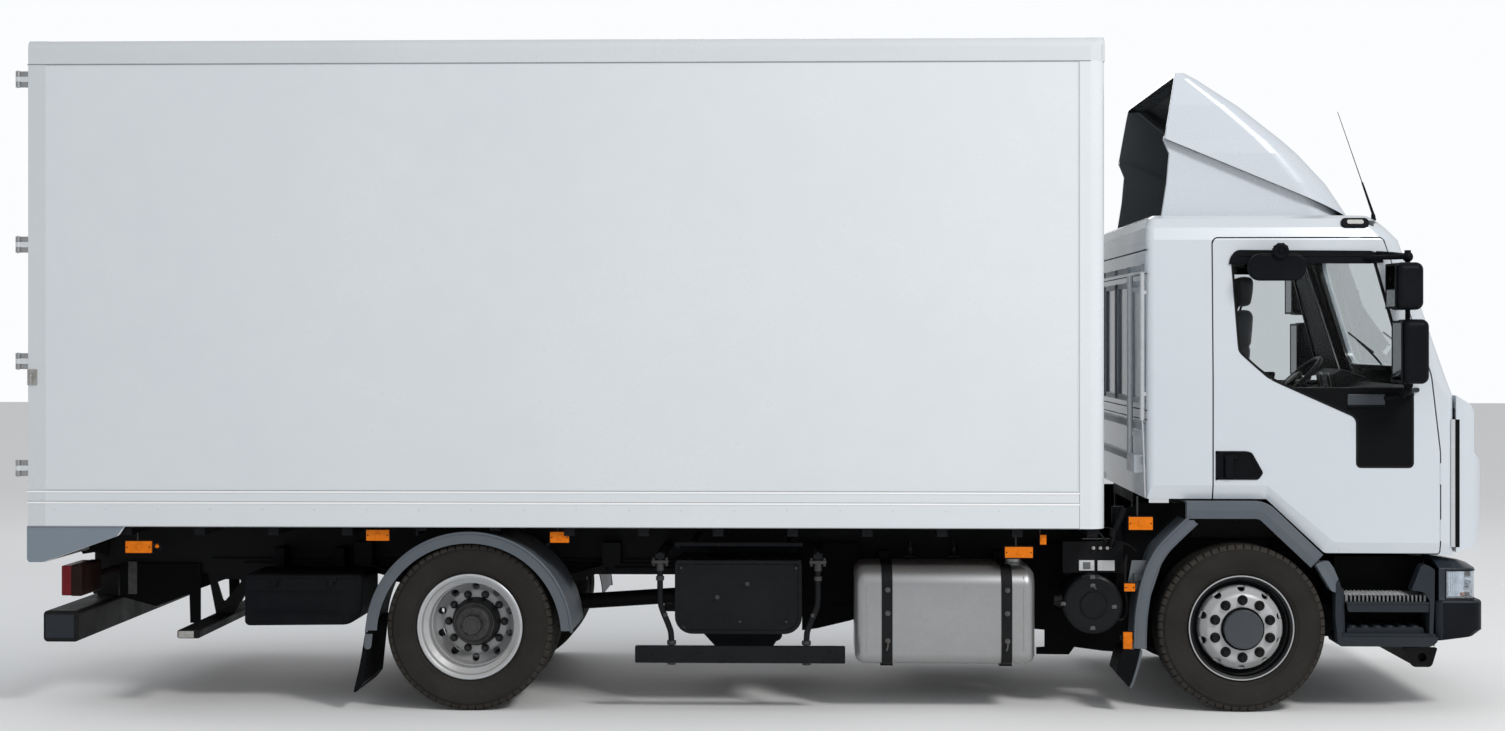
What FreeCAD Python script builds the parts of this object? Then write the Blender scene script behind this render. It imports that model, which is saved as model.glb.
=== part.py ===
import FreeCAD, Part
import math
import os

# Box truck with a tilting cab.  Millimetres.  +X is forwards, +Y is the driver's side, +Z is up
# and the ground is Z = 0.  "Side" is -1 for the kerb side (right) and +1 for the driver's side.

V = FreeCAD.Vector
Y_AXIS = V(0, 1, 0)
Z_AXIS = V(0, 0, 1)
sides = (("right", -1), ("left", 1))
os.makedirs("parts", exist_ok=True)

# ---- driving dimensions ----
wheelbase = 4400
front_axle_x = 2796
tyre_diameter = 957
tyre_width = 275
frame_clearance = 222          # wheel centre to underside of the rails
rail_height = 220
rail_flange = 70
rail_plate = 8
frame_width = 860              # over the rail webs
frame_front = 1104             # rail front end ahead of the front axle
frame_end_gap = 120            # rail rear end inside the box end

box_length = 6150
box_width = 2500
box_height = 2785
box_wall = 32
box_drop = 130                 # side walls' lower edge above the rails
cab_to_box = 245
post_width = 155
roof_rail = 137
rear_frame_depth = 100
rear_post = 100
runner_height = 80
bearer_height = 80
floor_plate = 30
door_leaf = 40
leaf_gap = 5
hinge_pin_back = 58            # door hinge pin behind the box end

cab_width = 2300
cab_wall = 55
cab_length_back = 539          # cab rear wall behind the front axle
front_panel_reach = 1376       # cab face ahead of the front axle
shut_gap = 8
tilt_pivot = (1194, -220)      # from the front axle and the rail top
tilt_pin_radius = 20

front_tyre_y = 1010
twin_centre_y = 927
twin_spacing = 320
kingpin_y = 850
steering_arm = 200
pin_fit = 0.05                 # radial clearance of a running fit
seat_gap = 0.3                 # clearance of a piece that only rests on another

# ---- levels and stations worked out from them ----
wheel_radius = tyre_diameter / 2
axle_z = wheel_radius
rear_axle_x = front_axle_x - wheelbase
rail_low = axle_z + frame_clearance - 0.5
rail_top = rail_low + rail_height
rail_y = frame_width / 2
box_front = front_axle_x - cab_length_back - cab_to_box
box_rear = box_front - box_length
box_y = box_width / 2
box_low = rail_top + box_drop
box_top = box_low + box_height
bearer_low = rail_top + runner_height
floor_low = bearer_low + bearer_height
floor_top = floor_low + floor_plate
rail_rear = box_rear + frame_end_gap
rail_front = front_axle_x + frame_front
cab_y = cab_width / 2


# ---- small helpers ----
def block(x0, x1, y0, y1, z0, z1):
    low = V(min(x0, x1), min(y0, y1), min(z0, z1))
    return Part.makeBox(abs(x1 - x0), abs(y1 - y0), abs(z1 - z0), low)


def rod(start, end, radius):
    start, end = V(*start), V(*end)
    run = end - start
    return Part.makeCylinder(radius, run.Length, start, run)


def tube(start, end, radius, bore):
    start, end = V(*start), V(*end)
    run = end - start
    outer = Part.makeCylinder(radius, run.Length, start, run)
    return outer.cut(Part.makeCylinder(bore, run.Length, start, run))


def joined(shapes):
    whole = shapes[0].fuse(list(shapes[1:])) if len(shapes) > 1 else shapes[0]
    return whole.removeSplitter()


def mirrored(shape):
    return shape.mirror(V(0, 0, 0), Y_AXIS)


def bent_rod(points, radius):
    pieces = [rod(a, b, radius) for a, b in zip(points, points[1:])]
    pieces += [Part.makeSphere(radius, V(*p)) for p in points[1:-1]]
    return joined(pieces)


def turning(corners):
    """Positive where a closed outline runs anticlockwise."""
    return sum(corners[i - 1][0] * corners[i][1] - corners[i][0] * corners[i - 1][1]
               for i in range(len(corners)))


# Outlines are lists of corners (a, b, radius); a radius of 0 is a sharp corner.
# The way round is set by turn, so that each face looks along the way it is then carried.
def face_of(corners, place, turn=1):
    corners = list(corners) if turning(corners) * turn > 0 else list(corners)[::-1]
    cuts = []
    count = len(corners)
    for i, (a, b, radius) in enumerate(corners):
        point = V(a, b, 0)
        if radius <= 0:
            cuts.append((point, point, None))
            continue
        back = (V(*corners[i - 1][:2], 0) - point).normalize()
        ahead = (V(*corners[(i + 1) % count][:2], 0) - point).normalize()
        half = back.getAngle(ahead) / 2
        reach = radius / math.tan(half)
        middle = (back + ahead).normalize() * (radius / math.sin(half) - radius)
        cuts.append((point + back * reach, point + ahead * reach, point + middle))
    edges = []
    for i, (first, last, middle) in enumerate(cuts):
        if middle is not None:
            edges.append(Part.Arc(place(first), place(middle), place(last)).toShape())
        following = cuts[(i + 1) % count][0]
        if (following - last).Length > 1e-4:
            edges.append(Part.makeLine(place(last), place(following)))
    return Part.Face(Part.Wire(edges))


def side_prism(corners, y0, y1):
    """An (x, z) outline carried from y0 to y1."""
    y0, y1 = sorted((y0, y1))
    face = face_of(corners, lambda p: V(p.x, y0, p.y), -1)
    return face.extrude(V(0, y1 - y0, 0))


def end_prism(corners, x0, x1):
    """A (y, z) outline carried from x0 to x1."""
    x0, x1 = sorted((x0, x1))
    face = face_of(corners, lambda p: V(x0, p.x, p.y))
    return face.extrude(V(x1 - x0, 0, 0))


def plan_prism(corners, z0, z1):
    """An (x, y) outline carried from z0 to z1."""
    face = face_of(corners, lambda p: V(p.x, p.y, z0))
    return face.extrude(V(0, 0, z1 - z0))


def shifted_corners(corners, distance, closed=True):
    count = len(corners)
    side = 1 if not closed or turning(corners) > 0 else -1
    moved = []
    for i, (a, b, radius) in enumerate(corners):
        here = V(a, b, 0)
        into = here - V(*corners[i - 1][:2], 0) if closed or i > 0 else None
        out = V(*corners[(i + 1) % count][:2], 0) - here if closed or i < count - 1 else None
        into, out = (into or out).normalize(), (out or into).normalize()
        normals = V(into.y, -into.x, 0) * side, V(out.y, -out.x, 0) * side
        point = here + (normals[0] + normals[1]) * (distance / (1 + normals[0].dot(normals[1])))
        turn = side * (into.x * out.y - into.y * out.x)
        grown = radius + distance * (1 if turn > 0 else -1) if radius else 0
        moved.append((point.x, point.y, max(grown, 0)))
    return moved


def grown_outline(corners, distance):
    """A closed outline with every side moved outwards."""
    return shifted_corners(corners, distance)


def strip(path, thickness):
    """The closed outline between an open run of corners and its parallel on the left."""
    return list(path) + shifted_corners(path, -thickness, closed=False)[::-1]


def turned_ring(profile, x, y, z):
    """A closed (offset along Y, radius, fillet) profile turned about the Y line through (x, z)."""
    face = face_of(profile, lambda p: V(x, y + p.x, z + p.y))
    return face.revolve(V(x, y, z), Y_AXIS, 360)


def lofted(rows):
    """Rows (z, rear x, front x, half width, front radius, rear radius) joined by ruled faces."""
    wires = []
    for z, rear, front, half, front_radius, rear_radius in rows:
        corners = [(rear, -half, rear_radius), (front, -half, front_radius),
                   (front, half, front_radius), (rear, half, rear_radius)]
        wires.append(face_of(corners, lambda p: V(p.x, p.y, z)).OuterWire)
    return Part.makeLoft(wires, True, True)


def export(name, *solids):
    shape = solids[0] if len(solids) == 1 else Part.makeCompound(list(solids))
    count = len(shape.Solids)
    print(f"{name}: {count} solids, {shape.Volume / 1e9:.4f} m3, valid {shape.isValid()}")
    shape.exportStep(f"parts/{name}.step")


# ---- chassis ----
spring_leaf = 20
spring_width = 75
spring_eye = 34
front_spring_y = rail_y - rail_flange / 2
rear_spring_y = rail_y + 70
spring_half = 750
spring_sag = 120
front_spring_seat = axle_z - 20
rear_axle_tube = 75
rear_spring_seat = axle_z + rear_axle_tube + 8
front_leaves = (1.0, 0.86, 0.6)                   # length of each leaf from the top, as a share
rear_leaves = (1.0, 0.95, 0.8, 0.62, 0.42)


def rails():
    pieces = []
    for name, side in sides:
        web = side * (rail_y - rail_plate)
        inner = side * (rail_y - rail_flange)
        outer = block(rail_rear, rail_front, side * rail_y, inner, rail_low, rail_top)
        pieces.append(outer.cut(block(rail_rear, rail_front, web, inner,
                                      rail_low + rail_plate, rail_top - rail_plate)))
    return pieces


def crossmembers():
    depth, height, plate = 90, 140, 8
    web_y = rail_y - rail_plate
    low = rail_low + (rail_height - height) / 2
    stations = (rail_rear, rear_axle_x - 1050, rear_axle_x - depth / 2, rear_axle_x + 1100,
                front_axle_x - 2196, front_axle_x - 1146, rail_front - depth)
    pieces = []
    for x in stations:
        outer = block(x, x + depth, -web_y, web_y, low, low + height)
        pieces.append(outer.cut(block(x + plate, x + depth, -web_y, web_y,
                                      low + plate, low + height - plate)))
    return pieces


def spring_hangers():
    pieces = []
    for end in (-spring_half, spring_half):
        x = front_axle_x + end
        eye_z = front_spring_seat + len(front_leaves) * spring_leaf + spring_sag
        for side in (-1, 1):
            y = side * front_spring_y
            shape = block(x - 55, x + 55, y - spring_width / 2, y + spring_width / 2,
                          eye_z - 10, rail_low)
            eye = rod((x, y - spring_width, eye_z), (x, y + spring_width, eye_z), spring_eye)
            pieces.append(shape.cut(eye))
        x = rear_axle_x + end
        eye_z = rear_spring_seat + len(rear_leaves) * spring_leaf + spring_sag
        for side in (-1, 1):
            y = side * rear_spring_y
            shape = block(x - 55, x + 55, side * rail_y, y + side * spring_width / 2,
                          eye_z - 10, rail_top - 20)
            eye = rod((x, y - spring_width, eye_z), (x, y + spring_width, eye_z), spring_eye)
            pieces.append(shape.cut(eye))
    return pieces


tow_hole_radius = 25


def front_underrun():
    """Bar with its two legs and the tow plates, one welded piece."""
    bar_x, bar_z = front_axle_x + 1010, axle_z - 230
    half = 960
    pieces = [block(bar_x, bar_x + 110, -half, half, bar_z, bar_z + 100)]
    for side in (-1, 1):
        leg = side * (rail_y - 35)
        pieces.append(block(bar_x + 15, bar_x + 90, leg - 30, leg + 30, bar_z + 100, rail_low))
        outline = [(bar_x - 52, bar_z + 100, 8), (bar_x + 143, bar_z + 100, 8),
                   (bar_x + 110, bar_z - 12, 30), (bar_x, bar_z - 12, 30)]
        plate = side_prism(outline, side * (half - 25), side * half)
        hole = rod((bar_x + 55, side * (half - 60), bar_z + 44),
                   (bar_x + 55, side * (half + 10), bar_z + 44), tow_hole_radius)
        pieces[0] = pieces[0].cut(hole)
        pieces.append(plate.cut(hole))
    return [joined(pieces)]


def tilt_brackets(rail_shapes):
    x = front_axle_x + tilt_pivot[0]
    z = rail_top + tilt_pivot[1]
    brackets = []
    for side in (-1, 1):
        outline = [(rail_front - 60, rail_top - 20, 0), (rail_front - 60, z - 30, 20),
                   (x + 25, z - 30, 25), (x + 25, z + 40, 25), (rail_front + 40, rail_top - 20, 20)]
        plate = side_prism(outline, side * (rail_y - 50), side * rail_y)
        for rail in rail_shapes:
            plate = plate.cut(rail)
        pin = rod((x, side * (rail_y - 20), z), (x, side * (rail_y + 48), z), tilt_pin_radius)
        brackets.append(joined([plate, pin]))
    return brackets


def rear_cab_mount():
    x = front_axle_x - 520
    top = rail_top + 294 - seat_gap
    pieces = [block(x, x + 70, -rail_y - 20, rail_y + 20, top - 70, top)]
    for side in (-1, 1):
        pieces.append(block(x, x + 70, side * (rail_y - rail_flange), side * rail_y,
                            rail_top, top - 70))
    return [joined(pieces)]


def chassis_frame():
    """Rails, crossmembers, hangers and brackets stay separate solids, as they are bolted up."""
    pair = rails()
    export("chassis_frame", *pair, *crossmembers(), *spring_hangers(), *front_underrun(),
           *tilt_brackets(pair), *rear_cab_mount())


def leaf_pack(x, y, seat_z, shares):
    radius = (spring_half ** 2 + spring_sag ** 2) / (2 * spring_sag)
    low_y, high_y = y - spring_width / 2, y + spring_width / 2
    top = seat_z + len(shares) * spring_leaf
    centre_z = top + radius
    pieces = []
    for i, share in enumerate(shares):
        inner = radius + i * spring_leaf
        band = tube((x, low_y, centre_z), (x, high_y, centre_z), inner + spring_leaf, inner)
        reach = spring_half * share
        pieces.append(band.common(block(x - reach, x + reach, low_y, high_y,
                                        seat_z - 1, top + spring_sag + 40)))
    eye_z = top + spring_sag
    for end in (-spring_half, spring_half):
        pieces.append(rod((x + end, low_y, eye_z), (x + end, high_y, eye_z), spring_eye))
    pieces.append(block(x - 60, x + 60, low_y, high_y, seat_z, seat_z + spring_leaf))
    return joined(pieces)


def leaf_springs():
    packs = []
    for side in (-1, 1):
        packs.append(leaf_pack(front_axle_x, side * front_spring_y, front_spring_seat,
                               front_leaves))
        packs.append(leaf_pack(rear_axle_x, side * rear_spring_y, rear_spring_seat,
                               rear_leaves))
    export("leaf_springs", *packs)


# ---- axles, knuckles and steering ----
kingpin_radius = 20
boss_half = 55
lug_thickness = 34
lug_gap = 2
arm_pin_radius = 12
tie_rod_drop = 21              # lower lug's underside to the tie rod's centre
spindle_radius = 40
rear_spindle_radius = 50
arm_z = axle_z - boss_half - lug_gap - lug_thickness


def front_axle():
    beam_top = front_spring_seat
    depth = 45
    outline = [(-kingpin_y, axle_z + boss_half, 0), (-kingpin_y, axle_z - boss_half, 0),
               (-700, axle_z - 45, 60), (-600, beam_top - 90, 60), (600, beam_top - 90, 60),
               (700, axle_z - 45, 60), (kingpin_y, axle_z - boss_half, 0),
               (kingpin_y, axle_z + boss_half, 0), (720, axle_z + 40, 60), (620, beam_top, 60),
               (-620, beam_top, 60), (-720, axle_z + 40, 60)]
    beam = end_prism(outline, front_axle_x - depth, front_axle_x + depth)
    for face in (-1, 1):
        web = front_axle_x + face * 16
        beam = beam.cut(block(web, front_axle_x + face * depth, -540, 540,
                              beam_top - 70, beam_top - 20))
    pieces = [beam]
    for side in (-1, 1):
        y = side * kingpin_y
        pieces.append(rod((front_axle_x, y, axle_z - boss_half),
                          (front_axle_x, y, axle_z + boss_half), depth))
        pin_reach = boss_half + lug_gap + lug_thickness
        pieces.append(rod((front_axle_x, y, axle_z - pin_reach),
                          (front_axle_x, y, axle_z + pin_reach), kingpin_radius))
    export("front_axle", joined(pieces))


def knuckle(side):
    y = side * kingpin_y
    reach = boss_half + lug_gap + lug_thickness
    pieces = []
    for low in (axle_z - reach, axle_z + reach - lug_thickness):
        pieces.append(rod((front_axle_x, y, low), (front_axle_x, y, low + lug_thickness), 48))
        pieces.append(block(front_axle_x - 48, front_axle_x + 48, y, y + side * 78,
                            low, low + lug_thickness))
    pieces.append(block(front_axle_x - 60, front_axle_x + 60, y + side * 52, y + side * 78,
                        axle_z - reach, axle_z + reach))
    pieces.append(rod((front_axle_x, y + side * 70, axle_z),
                      (front_axle_x, side * (front_tyre_y + 128), axle_z), spindle_radius))
    arm_x = front_axle_x - steering_arm
    pieces.append(block(arm_x, front_axle_x - 20, y - 17, y + 17, arm_z, arm_z + lug_thickness))
    pieces.append(rod((arm_x, y, arm_z), (arm_x, y, arm_z + lug_thickness), 26))
    pieces.append(rod((arm_x, y, arm_z - 40), (arm_x, y, arm_z), arm_pin_radius))
    whole = joined(pieces)
    return whole.cut(rod((front_axle_x, y, axle_z - reach - 1),
                         (front_axle_x, y, axle_z + reach + 1), kingpin_radius + pin_fit))


def tie_rod():
    x, z = front_axle_x - steering_arm, arm_z - tie_rod_drop
    half_eye = tie_rod_drop - 6
    shape = [rod((x, -kingpin_y, z), (x, kingpin_y, z), 13)]
    for side in (-1, 1):
        y = side * kingpin_y
        shape.append(rod((x, y, z - half_eye), (x, y, z + half_eye), 26))
    whole = joined(shape)
    for side, clearance in ((-1, 0.5), (1, pin_fit)):      # the kerb side pin is the open pivot
        y = side * kingpin_y
        whole = whole.cut(rod((x, y, z - 40), (x, y, z + 40), arm_pin_radius + clearance))
    export("tie_rod", whole)


def rear_axle():
    end = twin_centre_y - 150
    pieces = [rod((rear_axle_x, -end, axle_z), (rear_axle_x, end, axle_z), rear_axle_tube),
              Part.makeSphere(205, V(rear_axle_x, 0, axle_z)),
              Part.makeCone(140, 70, 330, V(rear_axle_x + 60, 0, axle_z), V(1, 0, 0))]
    for side in (-1, 1):
        y = side * rear_spring_y
        pieces.append(block(rear_axle_x - 80, rear_axle_x + 80, y - spring_width / 2,
                            y + spring_width / 2, axle_z, rear_spring_seat))
        pieces.append(rod((rear_axle_x, side * (end - 10), axle_z),
                          (rear_axle_x, side * (twin_centre_y + 150), axle_z),
                          rear_spindle_radius))
    export("rear_axle", joined(pieces))


# ---- wheels ----
rim_radius = 297
bead_radius = 286
rim_half = 119
hub_face = 150                 # disc face outside the tyre's centre line, front
disc_plate = 14
hub_radius = 110
hole_radius = 22
hand_holes = 10
front_hole_circle = 230        # the holes notch the bulging disc's edge
rear_hole_circle = 206


def tyre(y):
    crown, shoulder = wheel_radius, wheel_radius - 7
    half = tyre_width / 2
    bulge = bead_radius + 90
    profile = [(-100, bead_radius, 0), (-103, bead_radius + 16, 6), (-half, bulge - 25, 45),
               (-half, bulge + 40, 45), (-half + 17, shoulder, 16), (-50, crown, 200),
               (50, crown, 200), (half - 17, shoulder, 16), (half, bulge + 40, 45),
               (half, bulge - 25, 45),
               (103, bead_radius + 16, 6), (100, bead_radius, 0)]
    return turned_ring(profile, 0, y, 0)


def rim_profile():
    """Half section of the rim barrel as a strip (offset, radius, fillet)."""
    path = [(rim_half, rim_radius, 0), (106, rim_radius, 0), (104, bead_radius, 5),
            (68, bead_radius - 2, 8), (48, bead_radius - 34, 12), (-30, bead_radius - 34, 12),
            (-62, bead_radius - 2, 8), (-104, bead_radius, 5), (-106, rim_radius, 0),
            (-rim_half, rim_radius, 0)]
    inner = [(-rim_half, rim_radius - 8, 0), (-112, bead_radius - 9, 4),
             (-60, bead_radius - 11, 8), (-36, bead_radius - 43, 10),
             (52, bead_radius - 43, 10), (74, bead_radius - 11, 8), (112, bead_radius - 9, 4),
             (rim_half, rim_radius - 8, 0)]
    return path + inner


def hand_hole_cutters(radius, size, reach):
    cutters = []
    for i in range(hand_holes):
        angle = 2 * math.pi * (i + 0.5) / hand_holes
        x, z = radius * math.cos(angle), radius * math.sin(angle)
        cutters.append(rod((x, reach[0], z), (x, reach[1], z), size))
    return cutters


def front_wheel():
    """Front disc wheel with its outer side towards +Y, centred on the spindle."""
    rim = turned_ring(rim_profile(), 0, 0, 0)
    face = hub_face
    path = [(40, bead_radius - 43, 0), (100, 236, 30), (face, 190, 40), (face, 60, 0),
            (face - disc_plate, 60, 0), (face - disc_plate, 184, 30), (90, 226, 25),
            (30, bead_radius - 52, 0), (30, bead_radius - 41, 0), (40, bead_radius - 41, 0)]
    disc = turned_ring(path, 0, 0, 0)
    for cutter in hand_hole_cutters(front_hole_circle, hole_radius, (70, 160)):
        disc = disc.cut(cutter)
    drum = [(-75, 205, 6), (70, 205, 30), (face - disc_plate, 130, 0), (face - disc_plate, 70, 0),
            (-20, 70, 0), (-20, 120, 0), (20, 190, 0), (-75, 190, 0)]
    hub = tube((0, -20, 0), (0, face + 40, 0), 72, spindle_radius + pin_fit)
    cap = Part.makeCylinder(hub_radius, 42, V(0, face, 0), Y_AXIS)
    cap = cap.makeFillet(12, [e for e in cap.Edges if e.CenterOfMass.y > face + 41])
    bore = Part.makeCylinder(spindle_radius + pin_fit, face + 12, V(0, -30, 0), Y_AXIS)
    return joined([rim, disc, turned_ring(drum, 0, 0, 0), hub, cap]).cut(bore)


def dished_disc():
    """Disc of a twin wheel: its seat is hub_face from its rim's centre line."""
    seat = twin_spacing / 2
    path = [(-40, bead_radius - 43, 0), (-105, 236, 30), (-seat, 190, 30), (-seat, 140, 0),
            (-seat + disc_plate, 140, 0), (-seat + disc_plate, 186, 30), (-92, 228, 25),
            (-30, bead_radius - 50, 0), (-30, bead_radius - 41, 0), (-40, bead_radius - 41, 0)]
    disc = turned_ring(path, 0, 0, 0)
    for cutter in hand_hole_cutters(rear_hole_circle, hole_radius, (-170, -60)):
        disc = disc.cut(cutter)
    return disc


def rear_wheels():
    """A pair of rims on one hub, outer side towards +Y, centred between the two tyres."""
    half = twin_spacing / 2
    outer = joined([turned_ring(rim_profile(), 0, 0, 0), dished_disc()])
    inner = outer.mirror(V(0, 0, 0), Y_AXIS)
    outer.translate(V(0, half, 0))
    inner.translate(V(0, -half, 0))
    bore = rear_spindle_radius + pin_fit
    drum = [(-250, 205, 6), (-30, 205, 12), (-14, 150, 0), (-14, 60, 0), (-30, 60, 0),
            (-30, 185, 8), (-250, 190, 0)]
    hub = [(-130, bore, 0), (-130, 75, 0), (-30, 110, 0), (-16, 170, 0), (-disc_plate, 190, 0),
           (-disc_plate, 140, 0), (disc_plate, 140, 0), (40, 128, 6), (120, 118, 8),
           (160, 92, 8), (160, 55, 0), (205, 53, 6), (205, 0, 0), (155, 0, 0), (155, bore, 0)]
    return joined([outer, inner, turned_ring(drum, 0, 0, 0), turned_ring(hub, 0, 0, 0)])


def wheels():
    front_place = V(front_axle_x, front_tyre_y, axle_z)
    rear_place = V(rear_axle_x, twin_centre_y, axle_z)
    front, rear = front_wheel(), rear_wheels()
    front_rubber, half = tyre(0), twin_spacing / 2
    twin_rubber = Part.makeCompound([tyre(-half), tyre(half)])
    table = (("front_wheel", front, front_place), ("front_tyre", front_rubber, front_place),
             ("rear_wheels", rear, rear_place), ("rear_tyres", twin_rubber, rear_place))
    for name, shape, place in table:
        left = shape.copy()
        left.translate(place)
        export(name + "_left", *left.Solids)
        export(name + "_right", *mirrored(left).Solids)


# ---- driveline ----
engine_rear = -186
engine_length = 1030
engine_low = 140
engine_high = 370
engine_to_rail = 100           # engine's side to the rail's outer face


def engine():
    half = rail_y - engine_to_rail
    x = front_axle_x + engine_rear
    export("engine", block(x, x + engine_length, -half, half,
                           rail_low - engine_low, rail_top + engine_high))


def driveline():
    gear_x = front_axle_x + engine_rear
    wide, narrow = rail_y - 170, rail_y - 240
    shaft_start = (gear_x - 640, 0, rail_low - 10)
    shaft_end = (rear_axle_x + 400, 0, axle_z)
    mid = [s + (e - s) * 0.45 for s, e in zip(shaft_start, shaft_end)]
    pieces = [block(gear_x - 230, gear_x, -wide, wide, rail_low - 120, rail_low + 240),
              block(gear_x - 600, gear_x - 230, -narrow, narrow, rail_low - 120, rail_low + 150),
              rod((gear_x - 650, 0, rail_low - 10), (gear_x - 600, 0, rail_low - 10), 80),
              rod(shaft_start, shaft_end, 48),
              rod((rear_axle_x + 390, 0, axle_z), (rear_axle_x + 420, 0, axle_z), 78),
              rod((mid[0] - 60, 0, mid[2]), (mid[0] + 60, 0, mid[2]), 75)]
    export("driveline", joined(pieces))


# ---- tanks and boxes on the rails ----
tank = {"length": 1020, "height": 571, "width": 580, "rear": -2199, "low": -432, "radius": 70}
tank_gap = 170                 # rail web to the tank's inner face
bracket_plate = 12
strap_band = 4
strap_stations = (150, 830)
strap_width = 62


def fuel_tank():
    x = front_axle_x + tank["rear"]
    low = rail_low + tank["low"]
    inner = rail_y + tank_gap
    shape = block(x, x + tank["length"], -inner, -inner - tank["width"],
                  low, low + tank["height"])
    shape = shape.makeFillet(tank["radius"], shape.Edges)
    neck = rod((x + 160, -inner - 150, low + tank["height"] - 5),
               (x + 160, -inner - 150, low + tank["height"] + 35), 45)
    return joined([shape, neck])


def tank_supports(tank_shape):
    x0 = front_axle_x + tank["rear"]
    low = rail_low + tank["low"]
    inner = rail_y + tank_gap
    outer = inner + tank["width"]
    top = low + tank["height"]
    pieces = []
    for station in strap_stations:
        x = x0 + station
        band = tank["radius"] + strap_band
        loop = end_prism([(-inner + strap_band, low - strap_band, band),
                          (-inner + strap_band, top + strap_band, band),
                          (-outer - strap_band, top + strap_band, band),
                          (-outer - strap_band, low - strap_band, band)], x, x + strap_width)
        leg = end_prism([(-rail_y, rail_top - 20, 0), (-rail_y, rail_low + 20, 0),
                         (-inner + 40, low - 50, 20), (-outer + 90, low - 50, 20),
                         (-outer + 90, low - strap_band + 1, 0),
                         (-inner + strap_band, low - strap_band + 1, 0),
                         (-inner + strap_band, rail_top - 20, 0)], x + 16, x + 46)
        whole = joined([loop, leg.cut(loop)])
        pieces.append(whole.cut(tank_shape))
    return pieces


def hung_box(x0, x1, inner, outer, low, high, radius, arm_low, arm_insets=(60, 120)):
    """A closed box on the kerb side, on two arms from the rail's web."""
    shape = block(x0, x1, -inner, -outer, low, high)
    shape = shape.makeFillet(radius, [e for e in shape.Edges
                                      if abs(e.CenterOfMass.y + outer) < 1
                                      or abs(e.CenterOfMass.z - low) < 1])
    arms = [block(x, x + 60, -rail_y, -inner - radius - 5, arm_low, arm_low + 60)
            for x in (x0 + arm_insets[0], x1 - arm_insets[1])]
    return joined([shape] + arms)


def boxes_on_rails():
    battery = hung_box(rear_axle_x + 1169, rear_axle_x + 1898, rail_y + 200, 1120,
                       rail_low - 268, rail_low + 154, 30, rail_low + 60)
    export("battery_box", battery)
    tool = hung_box(rear_axle_x - 1332, rear_axle_x - 650, rail_y + 150, 1060,
                    rail_low - 237, rail_low + 56, 25, rail_low - 10, (60, 260))
    tool = joined([tool] + [block(x, x + 60, -rail_y, -rail_y - 30, rail_low - 10, rail_low + 150)
                            for x in (rear_axle_x - 1272, rear_axle_x - 910)])
    export("tool_box", tool)
    silencer = mirrored(hung_box(front_axle_x - 1900, front_axle_x - 1200, rail_y + 90, 1120,
                                 rail_low - 330, rail_low + 120, 60, rail_low + 40))
    export("exhaust_silencer", silencer)


def air_tank(x0, x1, y, z, radius):
    shell = Part.makeCylinder(radius, x1 - x0, V(x0, y, z), V(1, 0, 0))
    shell = shell.makeFillet(40, [e for e in shell.Edges if e.Length > 3 * radius])
    side = 1 if y > 0 else -1
    straps = [block(x, x + 40, side * rail_y, y, z + radius * 0.6, rail_low + 60)
              for x in (x0 + 60, x1 - 100)]
    return joined([shell] + straps)


def air_tanks():
    x = rear_axle_x + 1346
    low = rail_low - 270
    export("air_tanks", air_tank(x, x + 430, -(rail_y + 70), low, 120),
           air_tank(x, x + 700, rail_y + 150, low + 60, 135))


def side_guard():
    """Kerb side: one wide bar hung on two bent tubes."""
    outer = box_y - 30
    bar_x = (rear_axle_x + 954, rear_axle_x + 2143)
    posts = ((bar_x[0] + 120, bar_x[0] + 215), (bar_x[1] - 130, bar_x[1] - 240))
    low = rail_low - 416
    bar = block(bar_x[0], bar_x[1], -outer, -outer + 32, low, low + 103)
    bar = bar.makeFillet(10, [e for e in bar.Edges if e.Length > 500])
    pieces = [bar]
    for top_x, low_x in posts:
        y = -outer + 48
        pieces.append(bent_rod([(top_x, y, rail_low + 105), (top_x, y, rail_low - 150),
                                (low_x, y, low + 40), (low_x, y, low + 5)], 20))
        pieces.append(block(top_x - 30, top_x + 30, -rail_y, y - 20,
                            rail_low + 90, rail_low + 140))
    return joined(pieces)


def side_guards():
    right = side_guard()
    export("side_guards", right, mirrored(right))


# ---- rear end ----
def rear_underrun():
    x, low = box_rear + 73, axle_z - 95
    half = box_y - 50
    outline = [(x, low, 25), (x + 205, low, 25), (x + 205, low + 179, 25), (x, low + 179, 25)]
    pieces = [side_prism(outline, -half, half)]
    for side in (-1, 1):
        y = side * (rail_y - rail_flange / 2)
        pieces.append(block(x + 60, x + 190, y - 30, y + 30, low + 170, rail_low))
    foot_x, foot_low = box_rear + 848, axle_z - 73
    foot = side_prism([(foot_x, foot_low, 12), (foot_x + 130, foot_low, 12),
                       (foot_x + 130, foot_low + 49, 12), (foot_x, foot_low + 49, 12)],
                      -half, half)
    plates = []
    for side in (-1, 1):
        y = side * (rail_y - rail_flange / 2)
        outline = [(foot_x - 40, rail_low, 0), (foot_x + 10, foot_low + 40, 10),
                   (foot_x + 120, foot_low + 40, 10), (foot_x + 260, rail_low, 0)]
        hole = [(foot_x + 10, rail_low - 40, 12), (foot_x + 55, foot_low + 110, 12),
                (foot_x + 175, rail_low - 40, 12)]
        plate = side_prism(outline, y - 12, y + 12)
        plates.append(plate.cut(side_prism(hole, y - 20, y + 20)))
    export("rear_underrun", joined(pieces), joined([foot] + plates))


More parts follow.
